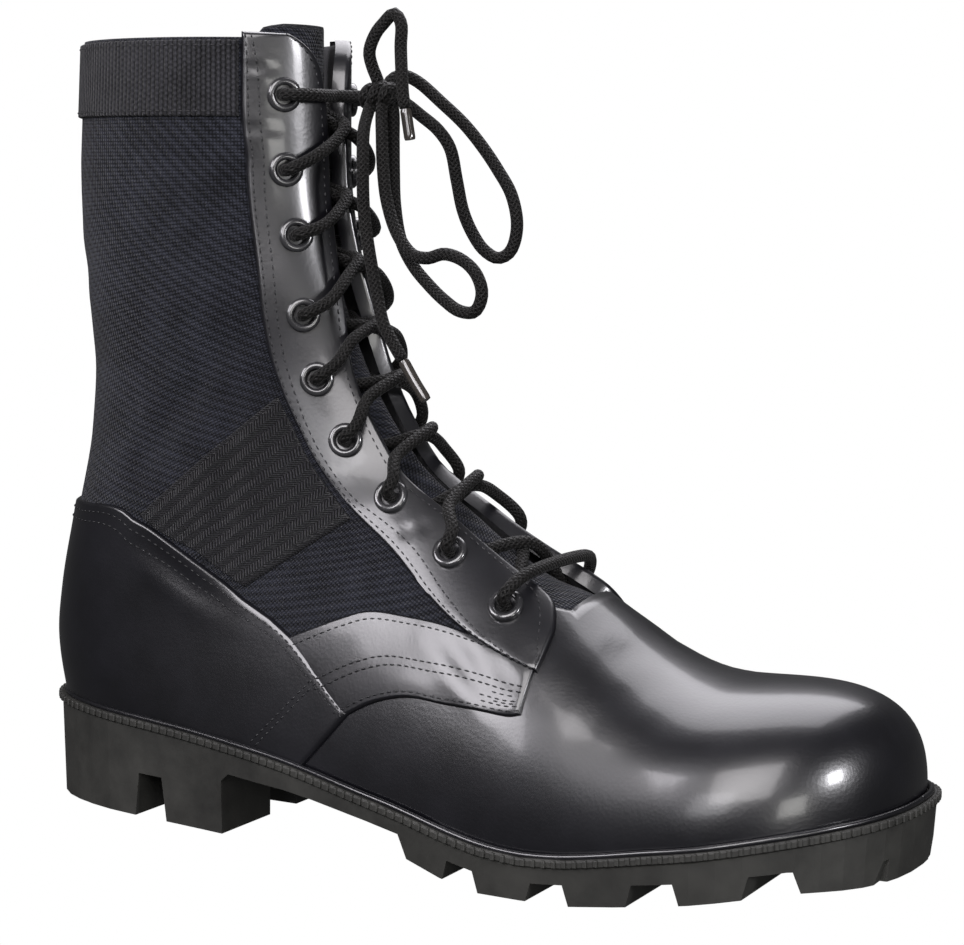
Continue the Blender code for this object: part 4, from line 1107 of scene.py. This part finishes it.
@dataclass(frozen=True)
class Studio:
    """Camera at the photograph's angle, soft lights, pale floor and backdrop.

    Attributes:
        eye: the camera's place, before the boot is centred.
        glow: how strongly the floor lights the boot; the camera sees it white.
        ambient: how strongly the surroundings light it.
        aim: what every lamp points at.
    """

    eye: tuple = (0.35777, -0.65581, 0.20392)
    azimuth: float = 28.378
    elevation: float = 6.410
    roll: float = 0.691
    lens: float = 88.57
    shift: tuple = (0.01255, -0.00879)
    glow: float = 0.07
    ambient: float = 0.06
    floor_size: float = 6.0
    floor_drop: float = 0.0002
    aim: tuple = (0.0, 0.0, 0.1)

    def build(self) -> None:
        """Make the camera, the floor and the lights."""
        a, e, r = (math.radians(v) for v in (self.azimuth, self.elevation, self.roll))
        back = Vector((math.sin(a) * math.cos(e), -math.cos(a) * math.cos(e), math.sin(e)))
        right = Vector((math.cos(a), math.sin(a), 0))
        up = back.cross(right)
        turned = right * math.cos(r) + up * math.sin(r)
        upright = up * math.cos(r) - right * math.sin(r)
        data = bpy.data.cameras.new("camera")
        data.sensor_fit, data.sensor_width, data.lens = "HORIZONTAL", 36.0, self.lens
        data.shift_x, data.shift_y = self.shift
        data.clip_start, data.clip_end = 0.05, 20.0
        camera = bpy.data.objects.new("camera", data)
        place = Vector(self.eye) - Vector((CENTRE[0], CENTRE[1], 0))
        facing = Matrix((turned, upright, back)).transposed().to_4x4()
        camera.matrix_world = Matrix.Translation(place) @ facing
        bpy.context.scene.collection.objects.link(camera)
        bpy.context.scene.camera = camera
        self.floor()
        self.lights()
        LOG.info("studio: lens %.1f mm", self.lens)

    def floor(self) -> None:
        """Pale floor that the boot stands on."""
        bm = bmesh.new()
        bmesh.ops.create_grid(bm, x_segments=1, y_segments=1, size=self.floor_size)
        mesh = bpy.data.meshes.new("floor")
        bm.to_mesh(mesh)
        bm.free()
        paper = Nodes("paper", (0.0, 0.0, 0.0), 1.0, emission_strength=1.0)
        camera_ray = paper.add("ShaderNodeLightPath").outputs["Is Camera Ray"]
        paper.between(camera_ray, self.glow, 1.0, "Emission Strength")
        paper.shader.inputs["Emission Color"].default_value = (1, 1, 1, 1)
        paper.shader.inputs["Specular IOR Level"].default_value = 0.0
        mesh.materials.append(paper.material)
        floor = bpy.data.objects.new("floor", mesh)
        floor.location.z = -self.floor_drop
        bpy.context.scene.collection.objects.link(floor)

    def lights(self) -> None:
        """White surroundings for the camera, dim ones for the boot, and six soft boxes."""
        world = bpy.data.worlds.new("studio")
        world.use_nodes = True
        nodes, links = world.node_tree.nodes, world.node_tree.links
        ray, reach = nodes.new("ShaderNodeLightPath"), nodes.new("ShaderNodeMapRange")
        reach.inputs["To Min"].default_value, reach.inputs["To Max"].default_value = self.ambient, 1.0
        links.new(ray.outputs["Is Camera Ray"], reach.inputs["Value"])
        links.new(reach.outputs[0], nodes["Background"].inputs["Strength"])
        nodes["Background"].inputs["Color"].default_value = (1.0, 1.0, 1.0, 1.0)
        bpy.context.scene.world = world
        bpy.context.scene.view_settings.view_transform = "Standard"
        for name, place, size, power, colour in (
            ("key", (0.30, -0.95, 0.75), 0.75, 15.0, (1.0, 0.97, 0.99)),
            ("fill", (0.05, -1.10, 0.42), 0.40, 2.5, (0.97, 0.96, 1.0)),
            ("left", (-0.46, -0.68, 0.56), 0.42, 7.0, (0.98, 0.95, 1.0)),
            ("low", (0.85, -0.70, 0.12), 0.30, 2.6, (1.0, 0.99, 0.96)),
            ("toe", (1.05, -0.25, 0.40), 0.20, 7.0, (0.97, 0.96, 1.0)),
            ("top", (-0.10, 0.50, 0.98), 0.90, 12.0, (0.97, 0.95, 1.0)),
        ):
            data = bpy.data.lights.new(name, "AREA")
            data.size, data.energy, data.color = size, power, colour
            lamp = bpy.data.objects.new(name, data)
            lamp.location = place
            facing = Vector(self.aim) - Vector(place)
            lamp.rotation_euler = facing.to_track_quat("-Z", "Y").to_euler()
            bpy.context.scene.collection.objects.link(lamp)


@dataclass(frozen=True)
class Bow:
    """Free part of the lace: feeds from the top eyelets, knot, two loops and two ends with their tips.

    Routes are in millimetres of the finished boot, as in the model. Spacing is the distance between rings.
    """

    diameter: float = 0.0040
    tip: float = 0.0036
    spacing: float = 0.0016
    knot: tuple = (-31.0, 0.4, 235.5)
    feed_ends: Rows = ((-34.6, -0.8, 235.2), (-34.6, 1.6, 235.9))
    end_up: Rows = (
        (-30.6, 0.2, 237.4), (-31.2, -0.7, 240.8), (-32.6, -1.4, 244.6), (-33.0, -2.6, 249.2),
        (-30.6, -2.8, 254.8), (-27.8, -2.6, 258.0), (-24.2, -2.4, 260.9), (-21.6, -2.6, 258.0),
        (-21.0, -3.6, 250.5), (-19.4, -5.6, 242.0), (-18.2, -6.6, 234.6), (-17.4, -6.6, 231.4),
    )
    tip_up: Rows = ((-17.3, -6.6, 231.0), (-16.5, -6.6, 226.5), (-15.6, -6.6, 221.6))
    loop_right: Rows = (
        (-29.4, 1.6, 237.8), (-28.3, 4.0, 241.0), (-26.0, 6.6, 242.2), (-22.2, 9.4, 240.3),
        (-15.0, 12.4, 233.7), (-8.6, 15.4, 227.2), (-3.1, 17.4, 220.3), (2.3, 18.4, 212.7),
        (7.4, 18.4, 204.6), (9.4, 18.4, 194.5), (7.5, 17.4, 186.9), (3.8, 16.4, 184.9),
        (-0.8, 15.4, 187.4), (-4.7, 14.4, 193.0), (-7.5, 13.4, 199.9), (-9.3, 12.4, 209.4),
        (-10.8, 10.4, 219.5), (-14.1, 8.4, 225.1), (-18.8, 6.0, 229.4), (-22.9, 3.4, 233.1),
        (-26.6, 1.8, 235.4),
    )
    loop_low: Rows = (
        (-28.6, -1.2, 234.6), (-28.2, -2.8, 230.6), (-26.4, -5.6, 223.1), (-25.4, -6.6, 213.8),
        (-23.3, -7.6, 202.8), (-18.9, -8.6, 192.6), (-12.9, -9.6, 186.2), (-6.6, -10.6, 185.1),
        (-0.9, -10.6, 186.5), (5.5, -10.6, 184.8), (10.5, -10.6, 180.6), (12.6, -10.6, 174.5),
        (10.3, -10.6, 169.2), (4.4, -9.6, 169.0), (-1.8, -8.6, 172.2), (-8.2, -7.4, 176.9),
        (-14.6, -5.9, 182.6), (-20.2, -3.9, 190.4), (-23.3, -2.4, 201.3), (-24.9, -0.6, 212.3),
        (-25.9, 0.8, 221.7), (-26.8, 1.9, 231.1), (-27.6, 1.2, 234.8),
    )
    end_down: Rows = (
        (-32.6, -1.2, 234.4), (-32.5, -3.6, 230.8), (-31.2, -8.6, 224.6), (-29.7, -11.6, 213.6),
        (-28.6, -12.6, 199.6), (-26.1, -13.6, 187.5), (-22.5, -14.6, 173.9), (-19.3, -15.6, 164.1),
        (-15.4, -15.6, 157.9), (-12.3, -15.6, 153.5),
    )
    tip_down: Rows = ((-12.1, -15.6, 153.2), (-7.9, -15.6, 146.8), (-3.9, -15.6, 141.4))

    def run(self, name: str, rows: Rows, look: bpy.types.Material) -> tuple[bpy.types.Object, np.ndarray]:
        """Make one cord's mesh through a route in metres.

        Args:
            name: the cord's CAD node.
            rows: its route in metres.
            look: its material.

        Returns:
            The cord's piece and the points of its route.
        """
        rows = np.asarray(rows, float)
        length = length_of(rows)
        points = spline_route(rows, max(12, round(length / self.spacing)))
        shape = tube_mesh(points, self.diameter / 2)
        made = finish_piece(name + "_cord", shape, look, [name], 180.0)
        return made, points

    def build(self, looks: Finishes) -> None:
        """Model the bow.

        Args:
            looks: the boot's finishes.
        """
        knot = self.tie(looks.cord)
        tips = {}
        for name, rows in (("aglet_up", self.tip_up), ("aglet_down", self.tip_down)):
            points = spline_route(np.array(rows) / 1000, 14)
            shape = tube_mesh(points, self.tip / 2, 16)
            tips[name] = finish_piece(name + "_tip", shape, looks.clear, [name], 60.0)
        for (side, word), end in zip(SIDES, self.feed_ends):
            rows = Lacing().over(1, side, 0.0)[:-1] + [np.array(end) / 1000]
            made, points = self.run(f"lace_feed_{word}", rows, looks.cord)
        for name, rows, far, pieces in (
            ("lace_loop_right", self.loop_right, "knot", []), ("lace_loop_low", self.loop_low, "knot", []),
            ("lace_end_up", self.end_up, "fitting", [tips["aglet_up"]]),
            ("lace_end_down", self.end_down, "fitting", [tips["aglet_down"]]),
        ):
            made, points = self.run(name, np.array(rows) / 1000, looks.cord)
        LOG.info("bow: cords of %.1f mm", self.diameter * 1000)

    def tie(self, look: bpy.types.Material) -> bpy.types.Object:
        """Knot of lace turns round its middle.

        Args:
            look: its material.

        Returns:
            The knot's piece.
        """
        t = np.linspace(0, 2 * math.pi, 49)
        centre = np.array(self.knot) / 1000
        turns = (
            np.stack([0.0050 * np.cos(t), 0.0016 * np.sin(t), 0.0021 * np.sin(t)], 1),
            np.stack([0.0014 * np.sin(t), 0.0036 * np.cos(t), 0.0030 * np.sin(t)], 1),
            np.stack([0.0034 + 0.0008 * np.sin(t), 0.0030 * np.cos(t), 0.0024 * np.sin(t)], 1),
            np.stack([-0.0036 + 0.0008 * np.sin(t), 0.0028 * np.cos(t), 0.0023 * np.sin(t)], 1),
        )
        joined = bmesh.new()
        for turn in turns:
            part = tube_mesh(centre + turn, self.diameter / 2)
            mesh = bpy.data.meshes.new("turn")
            part.to_mesh(mesh)
            part.free()
            joined.from_mesh(mesh)
            bpy.data.meshes.remove(mesh)
        return finish_piece("lace_knot_turns", joined, look, ["lace_knot"], 180.0)


@dataclass(frozen=True)
class Lacing:
    """Lace through the eyelets, and the eyelets.

    Attributes:
        lifts: lace over the upper in the bore, over the bore, on the flange, at the edge and in the middle.
        under: lace under the eyestays.
        dive: depth in the bore at which a strand starts.
        cross_gap: half the distance that two strands part where they cross.
        under_gap: half the distance that the two strands of the hidden crossing part.
        edge_climb: share of the way to the next eyelet that the lace climbs up to the eyestay's edge.
        middle_climb: the same share up to the middle of the throat.
        seat: height of the eyelets' seats over the upper.
        spacing: distance between a strand's rings.
        flange_climb: share of the climb to the edge that is done at the flange.
        flange_share: share of the way to the edge where the flange is left.
        tuck: shares of the climb below the next eyelet at which the lace passes the edge and ends.
        tuck_share: share of that eyelet's angle at which it ends.
        settle: how much lower it ends.
    """

    diameter: float = 0.0040
    lifts: tuple = (0.0012, 0.0072, 0.0080, 0.0058, 0.0022)
    under: float = -0.0045
    dive: float = -0.003
    cross_gap: float = 0.0019
    under_gap: float = 0.0017
    edge_climb: float = 0.38
    middle_climb: float = 0.58
    bore: float = 0.0062
    flange: float = 0.0110
    seat: float = 0.0032
    spacing: float = 0.0014
    flange_climb: float = 0.2
    flange_share: float = 0.42
    tuck: tuple = (0.25, 0.04)
    tuck_share: float = 0.93
    settle: float = 0.0004

    def over(self, number: int, side: int, climb: float, middle_lift: float = 0.0) -> list:
        """Points from an eyelet's bore over the eyestay's edge to the middle of the throat.

        Args:
            number: the eyelet, counted from 1 at the top.
            side: LATERAL or MEDIAL.
            climb: stations up to the next eyelet.
            middle_lift: extra lift in the middle of the throat.

        Returns:
            The points, from the bore outwards.
        """
        station, angle = eyelet_place(number, side)
        at_edge, in_middle = station + self.edge_climb * climb, station + self.middle_climb * climb
        edge = side * float(FRONT_ANGLE(at_edge))
        inside, over, flange, rim, middle = self.lifts
        spots = (
            (station, angle, inside), (station, angle, over),
            (station + self.flange_climb * self.edge_climb * climb,
             angle + self.flange_share * (edge - angle), flange),
            (at_edge, edge, rim), (in_middle, 0.0, middle + middle_lift),
        )
        return [surface(s, a, lift, False) for s, a, lift in spots]

    def build(self, looks: Finishes) -> None:
        """Thread the lace from the lowest eyelets up.

        Args:
            looks: the boot's finishes.
        """
        count = len(EYELETS)
        for number in range(2, count):
            for side, word in SIDES:
                climb = EYELETS[number - 2][0] - EYELETS[number - 1][0]
                rows = [surface(*eyelet_place(number, side), self.dive, False)]
                rows += self.over(number, side, climb, self.cross_gap * (-side))
                station, angle = eyelet_place(number - 1, -side)
                at_edge, at_end = (station - share * climb for share in self.tuck)
                edge = -side * float(FRONT_ANGLE(at_edge))
                rows.append(surface(at_edge, edge, self.under, False))
                rows.append(surface(at_end, angle * self.tuck_share, self.under - self.settle, False))
                self.strand(f"lace_{number}_{word}", rows, looks, [f"lace_crossing_{number}"])
        halves = [[surface(*eyelet_place(count, side), self.dive, False)] + self.over(count, side, 0.0)[:-1]
                  for side, _ in SIDES]
        self.strand("lace_bar_strand", halves[0] + halves[1][::-1], looks, ["lace_bar"])
        for side, word in SIDES:
            (low, low_angle), (high, high_angle) = eyelet_place(count, side), eyelet_place(count - 1, -side)
            gap = self.under_gap + side * self.under_gap
            rows = [surface(low + (high - low) * t, low_angle + (high_angle - low_angle) * t,
                            self.under + gap * math.sin(math.pi * t) ** 4, False)
                    for t in (0.02, 0.22, 0.4, 0.5, 0.6, 0.78, 0.98)]
            self.strand(f"lace_under_{word}", rows, looks, ["lace_under"])
        self.eyelets(looks)
        LOG.info("lacing: %d strands", 2 * count - 1)

    def strand(self, name: str, rows: list, looks: Finishes, nodes: list) -> None:
        """One strand through points.

        Args:
            name: the piece's name.
            rows: points that the strand passes.
            looks: the boot's finishes.
            nodes: CAD nodes that it replaces.
        """
        rows = np.array(rows)
        length = length_of(rows)
        points = spline_route(rows, round(length / self.spacing))
        finish_piece(name, tube_mesh(points, self.diameter / 2), looks.cord, nodes, 180.0)

    def eyelets(self, looks: Finishes) -> None:
        """Turned eyelets with a rolled rim, each spun from its profile.

        Args:
            looks: the boot's finishes.
        """
        bore, flange = self.bore / 2, self.flange / 2
        profile = ((bore, -0.0055), (bore, 0.0004), (bore + 0.0002, 0.0008), (bore + 0.0008, 0.0011),
                   (flange - 0.0011, 0.0011), (flange - 0.0005, 0.0009), (flange - 0.0001, 0.0005),
                   (flange, 0.0001), (flange, -0.0009))
        for side, word in SIDES:
            for number in range(1, len(EYELETS) + 1):
                station, angle = eyelet_place(number, side)
                low, high = surface(station, angle, 0.0, False), surface(station, angle, 0.01, False)
                normal = Vector(high - low).normalized()
                place = Matrix.Translation(Vector(low) + normal * self.seat)
                place = place @ normal.to_track_quat("Z", "Y").to_matrix().to_4x4()
                bm = bmesh.new()
                ring = [bm.verts.new((r, 0, z)) for r, z in profile]
                edges = [bm.edges.new(pair) for pair in zip(ring, ring[1:])]
                bmesh.ops.spin(bm, geom=ring + edges, cent=(0, 0, 0), axis=(0, 0, 1), angle=2 * math.pi,
                               steps=32, use_merge=True)
                bmesh.ops.recalc_face_normals(bm, faces=bm.faces)
                bm.transform(place)
                face_out(bm, Vector(low) - normal * 0.02)
                node = f"eyelet_{word}_{number}"
                finish_piece(node + "_rim", bm, looks.enamel, [node], 60.0)


@dataclass(frozen=True)
class Upper:
    """Hollow upper with its panels, band, webbing, tongue and seams.

    Attributes:
        rows: rows of points along the toe, the vamp, the throat, the heel and the shaft.
        top: station of the collar's edge.
        inside: a place inside the boot.
        band: stations of the collar band's edges, and the angle in degrees of its front end.
        vamp_end: station up to which the wall is leather all round.
        wing_end: station up to which it is leather under the wings.
        wing_line: angle in degrees over which that leather starts, its rise by station, and their station.
        counter_front: station of the counter's front end.
        tongue_gap: gap between the wall and the tongue.
        tongue_drop: how much lower the tongue lies where its share is whole.
        tongue_edge: how far its long edges turn down.
    """

    wall: float = 0.0022
    rows: tuple = (40, 14, 40, 46, 26)
    top: float = 2.955
    inside: tuple = (-0.03, 0.0, 0.08)
    throat_columns: int = 12
    side_columns: int = 52
    band: tuple = (2.335, 2.935, 52.2)
    vamp_end: float = 1.245
    wing_end: float = 1.42
    wing_line: tuple = (53.0, 74.0, 1.204)
    counter_front: float = 1.380
    tongue_gap: float = 0.0003
    tongue_drop: float = 0.0043
    tongue_edge: float = 0.0009
    tongue_wall: float = 0.0026
    under_tongue: tuple = (-0.06, 0.0, 0.10)
    eyestay_face: float = 0.0022
    counter_face: float = 0.00162
    strip_face: float = 0.0015
    wing_face: float = 0.0014
    wing_middle_face: float = 0.0016
    band_face: float = 0.0014
    webbing_face: float = 0.0011

    def stations(self) -> np.ndarray:
        """Rows of the upper from the toe tip to the collar.

        Returns:
            The stations.
        """
        toe = 1 - np.cos(np.linspace(0, math.pi / 2, self.rows[0]))
        stops = (1.0, THROAT_STATION, HEEL_STATION, 2.0, self.top)
        runs = [np.linspace(a, b, count)[1:] for a, b, count in zip(stops, stops[1:], self.rows[1:])]
        return np.concatenate([toe, *runs])

    def build(self, looks: Finishes) -> None:
        """Model the upper and everything sewn to it.

        Args:
            looks: the boot's finishes.
        """
        self.body(looks)
        self.panels(looks)
        self.tongue(looks)
        self.seams(looks)
        LOG.info("upper: wall %.1f mm", self.wall * 1000)

    def body(self, looks: Finishes) -> None:
        """Vamp of leather and shaft of canvas, one closed wall.

        Args:
            looks: the boot's finishes.
        """
        stations = self.stations()
        held = np.maximum(stations, THROAT_STATION)
        inner = gap_angle(held, THROAT_GAP(held) * LAST.ball)
        halves = []
        for side, _ in SIDES:
            outer = foot_angle(stations, side)
            front = inner[:, None] * np.linspace(0, 1, self.throat_columns + 1)[None]
            rest = np.linspace(0, 1, self.side_columns + 1)[None, 1:]
            halves.append(side * np.concatenate([front, inner[:, None] + (outer - inner)[:, None] * rest], 1))
        angles = np.concatenate([halves[0][:, ::-1], halves[1][:, 1:]], 1)
        grid = np.broadcast_to(stations[:, None], angles.shape)
        points = surface(grid, angles)
        uv = arc_uv(points)
        middle = halves[0].shape[1] - 1
        uv[..., 0] -= uv[:, middle:middle + 1, 0]
        bm, cells = mapped_grid(points, uv)
        gone = []
        start, rise, since = self.wing_line
        for face, (i, j) in cells.items():
            station, angle = stations[i], abs(math.degrees(angles[i, j]))
            if station >= THROAT_STATION - 1e-6 and abs(j + 0.5 - middle) < self.throat_columns:
                gone.append(face)
            low_side = angle > start + rise * (station - since)
            leather = station < self.vamp_end or (station < self.wing_end and low_side)
            face.material_index = 0 if leather else 1
        bmesh.ops.delete(bm, geom=gone, context="FACES")
        bmesh.ops.remove_doubles(bm, verts=bm.verts, dist=2e-6)
        face_out(bm, Vector(self.inside))
        made = finish_piece("upper_body", bm, looks.leather, ["upper"], 180.0)
        made.data.materials.append(looks.canvas)
        made.data.materials.append(looks.lining)
        wall = made.modifiers.new("wall", "SOLIDIFY")
        wall.thickness, wall.offset = self.wall, -1
        wall.use_quality_normals = True
        wall.material_offset = 2

    def counter(self, side: int) -> np.ndarray:
        """Counter's lower edge, just over the feather line, as stations and angles."""
        stations = HEEL_STATION - (HEEL_STATION - self.counter_front) * (1 - np.linspace(0, 1, 30)) ** 2
        return np.stack([stations, foot_angle(stations, side)], 1)

    def counter_top(self) -> np.ndarray:
        """Counter's upper edge, which ends in the middle of the back.

        Returns:
            Stations and angles.
        """
        edge = in_radians(COUNTER_TOP)
        edge[-1, 1] = math.pi
        return edge

    def band_edges(self, inset: float, end: float) -> list[np.ndarray]:
        """Collar band's lower and upper edge, from its front end plus an inset to an angle in degrees.

        Args:
            inset: degrees from the band's front end to the edges' first place.
            end: angle in degrees where the edges end.

        Returns:
            The lower and the upper edge, as stations and angles.
        """
        low, high, front = self.band
        angles = np.linspace(front + inset, end, 20)
        return [in_radians([(station, angle) for angle in angles]) for station in (low, high)]

    @staticmethod
    def across(start: np.ndarray, end: np.ndarray, shift: float) -> np.ndarray:
        """Straight seam most of the way between two places, moved by part of a station."""
        return np.array([start * (1 - t) + end * t for t in np.linspace(0.04, 0.96, 12)]) + (shift, 0)

    @staticmethod
    def strip_seam(top: float, foot: float, side: int) -> np.ndarray:
        """Seam down the counter's front strip, between two stations, as stations and angles."""
        return np.array([(top, 1.24), (foot, foot_angle(foot, side) - 0.02)])

    def panels(self, looks: Finishes) -> None:
        """Counter, collar band, eyestays, wings and ankle webbing.

        Args:
            looks: the boot's finishes.
        """
        back = in_radians(EYESTAY_BACK)
        for side, word in SIDES:
            Panel(f"eyestay_{word}_panel", 0.0003, thickness=0.0018, roll=0.0014, hem=0.0030,
                  puff=0.0001).build(
                EYESTAY_FRONT, back, side, 110, 14, looks.leather, Slot.LEATHER, [f"eyestay_{word}"])
            Panel(f"wing_{word}_panel", 0.0001, thickness=0.0012, roll=0.0009, puff=0.0001).build(
                in_radians(WING_TOP), in_radians(WING_FOOT), side, 40, 12, looks.leather, Slot.LEATHER,
                [f"wing_{word}"])
            Panel(f"webbing_{word}_panel", 0.0001, thickness=0.0010, roll=0.0008).build(
                in_radians(WEBBING_FRONT), in_radians(WEBBING_REAR), side, 24, 30, looks.herringbone,
                Slot.WEBBING, [f"ankle_webbing_{word}"])
            Panel(f"counter_{word}_panel", 0.0003, thickness=0.0012, roll=0.0011, runs_on=True).build(
                self.counter_top(), self.counter(side), side, 60, 30, looks.leather, Slot.LEATHER,
                ["heel_counter"])
            edges = self.band_edges(0, 180)
            Panel(f"band_{word}_panel", 0.0002, thickness=0.0012, roll=0.0007, runs_on=True).build(
                edges[0], edges[1], side, 50, 14, looks.ribs, Slot.WEBBING, ["collar_band"])

    def tongue(self, looks: Finishes) -> None:
        """Canvas tongue under the throat, with rounded long edges.

        Args:
            looks: the boot's finishes.
        """
        read = smooth_table(TONGUE)
        stations = np.linspace(TONGUE[0][0], TONGUE[-1][0], 120)
        half, room = np.moveaxis(read(stations), -1, 0)
        share = np.linspace(-1, 1, 25)
        angles = gap_angle(stations, half * LAST.ball)[:, None] * share[None]
        lift = -(self.wall + self.tongue_gap + room * self.tongue_drop)[:, None]
        lift = lift - self.tongue_edge * np.abs(share[None]) ** 6
        points = surface(np.broadcast_to(stations[:, None], angles.shape), angles, lift, False)
        bm, _ = mapped_grid(points, arc_uv(points))
        face_out(bm, Vector(self.under_tongue))
        made = finish_piece("tongue_sheet", bm, looks.canvas, ["tongue"], 180.0)
        wall = made.modifiers.new("wall", "SOLIDIFY")
        wall.thickness, wall.offset = self.tongue_wall, -1
        wall.use_quality_normals = True

    def seams(self, looks: Finishes) -> None:
        """Rows of stitches along the panels' edges.

        Args:
            looks: the boot's finishes.
        """
        back, sew = in_radians(EYESTAY_BACK), Stitching()
        wing_top, wing_foot = in_radians(WING_TOP), in_radians(WING_FOOT)
        web_front, web_rear = in_radians(WEBBING_FRONT), in_radians(WEBBING_REAR)
        for side, word in SIDES:
            top, foot = self.counter_top(), self.counter(side)
            band = self.band_edges(2, 178)
            lines = (
                ("eyestay_back_a", offset_line(back, EYESTAY_FRONT, 0.07), self.eyestay_face),
                ("eyestay_back_b", offset_line(back, EYESTAY_FRONT, 0.18), self.eyestay_face),
                ("eyestay_front", offset_line(EYESTAY_FRONT, back, 0.12), self.eyestay_face),
                ("counter_a", offset_line(top, foot, 0.045), self.counter_face),
                ("counter_b", offset_line(top, foot, 0.095), self.counter_face),
                ("counter_seam_a", self.strip_seam(1.418, 1.428, side), self.strip_face),
                ("counter_seam_b", self.strip_seam(1.424, 1.434, side), self.strip_face),
                ("tab_a", offset_line(wing_top, wing_foot, 0.86, 0.80, 0.97), self.wing_face),
                ("tab_b", offset_line(wing_top, wing_foot, 0.78, 0.80, 0.97), self.wing_face),
                ("tab_c", offset_line(wing_top, wing_foot, 0.70, 0.84, 0.97), self.wing_face),
                ("tab_d", offset_line(wing_top, wing_foot, 0.82, 0.84, 0.97), self.wing_face),
                ("wing_top", offset_line(wing_top, wing_foot, 0.10), self.wing_face),
                ("wing_mid_a", offset_line(wing_top, wing_foot, 0.52), self.wing_middle_face),
                ("wing_mid_b", offset_line(wing_top, wing_foot, 0.62), self.wing_middle_face),
                ("wing_foot", offset_line(wing_foot, wing_top, 0.07), self.wing_face),
                ("band_low", offset_line(band[0], band[1], 0.07), self.band_face),
                ("band_high", offset_line(band[1], band[0], 0.07), self.band_face),
                ("webbing_top", self.across(web_front[0], web_rear[0], -0.006), self.webbing_face),
                ("webbing_low", self.across(web_front[-1], web_rear[-1], 0.006), self.webbing_face),
            )
            for name, rows, lift in lines:
                sew.build(f"stitch_{name}_{word}", rows, side, lift, looks.thread)


@dataclass(frozen=True)
class Sole:
    """Rubber outsole's dressing: toothed rim and rounded welt bead.

    Attributes:
        pitch: distance between teeth.
        tooth: a tooth's size along the rim, across it and up.
        tooth_out: how far the teeth stand out from the feather line.
        tooth_drop: how far their middle is under it.
        tooth_bevel: bevel of their edges.
        bead: the welt bead's radius.
    """

    pitch: float = 0.0033
    tooth: tuple = (0.0014, 0.0014, 0.0022)
    tooth_out: float = 0.0035
    tooth_drop: float = 0.0013
    tooth_bevel: float = 0.00025
    bead: float = 0.0009
    bead_out: float = 0.0012
    bead_rise: float = 0.0003

    def outline(self, width: float, steps: int = 240) -> tuple[np.ndarray, np.ndarray]:
        """Plan outline grown by a width, and the height of the feather line beside it."""
        base = raw_outline(steps)
        return grow(base, width) - CENTRE, feather_height(base[:, 0])

    def build(self, looks: Finishes) -> None:
        """Dress the outsole and the insole, and add the rim.

        Args:
            looks: the boot's finishes.
        """
        for node, look in (("outsole", looks.rubber), ("insole", looks.lining)):
            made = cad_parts[node]
            for slot in made.material_slots:
                slot.material = look
        self.teeth(looks)
        self.welt_bead(looks)
        LOG.info("sole: rim pitch %.1f mm", self.pitch * 1000)

    def teeth(self, looks: Finishes) -> None:
        """Row of small moulded teeth round the top edge of the sole.

        Args:
            looks: the boot's finishes.
        """
        loop, height = self.outline(self.tooth_out)
        closed = np.concatenate([loop, loop[:1]])
        tall = np.concatenate([height, height[:1]])
        run = run_along(closed)
        count = round(run[-1] / self.pitch)
        bm = bmesh.new()
        for spot in (np.arange(count) + 0.5) * run[-1] / count:
            x, y = (float(np.interp(spot, run, closed[:, k])) for k in (0, 1))
            k = min(int(np.searchsorted(run, spot)), len(closed) - 1)
            ahead = closed[k] - closed[k - 1]
            yaw = math.atan2(ahead[1], ahead[0])
            z = float(np.interp(spot, run, tall)) - self.tooth_drop
            size = Matrix.Diagonal((*self.tooth, 1.0))
            place = Matrix.Translation((x, y, z)) @ Matrix.Rotation(yaw, 4, "Z") @ size
            bmesh.ops.create_cube(bm, size=1.0, matrix=place)
        bmesh.ops.bevel(bm, geom=bm.edges, offset=self.tooth_bevel, segments=1, profile=0.5,
                        affect="EDGES", material=-1)
        finish_piece("rim_teeth", bm, looks.rubber, sharp=30.0)

    def welt_bead(self, looks: Finishes) -> None:
        """Rounded bead where the upper meets the sole.

        Args:
            looks: the boot's finishes.
        """
        loop, height = self.outline(self.bead_out)
        points = np.concatenate([loop, (height + self.bead_rise)[:, None]], 1)
        points = np.concatenate([points, points[:2]])
        finish_piece("welt_bead", tube_mesh(points, self.bead, 10), looks.leather, sharp=180.0)


def main() -> None:
    """Build the scene in order."""
    logging.basicConfig(level=logging.INFO, format="%(name)s %(message)s")
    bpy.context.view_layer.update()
    Studio().build()
    looks = Finishes.make()
    Bow().build(looks)
    Lacing().build(looks)
    Upper().build(looks)
    Sole().build(looks)


if __name__ == "__main__":
    main()
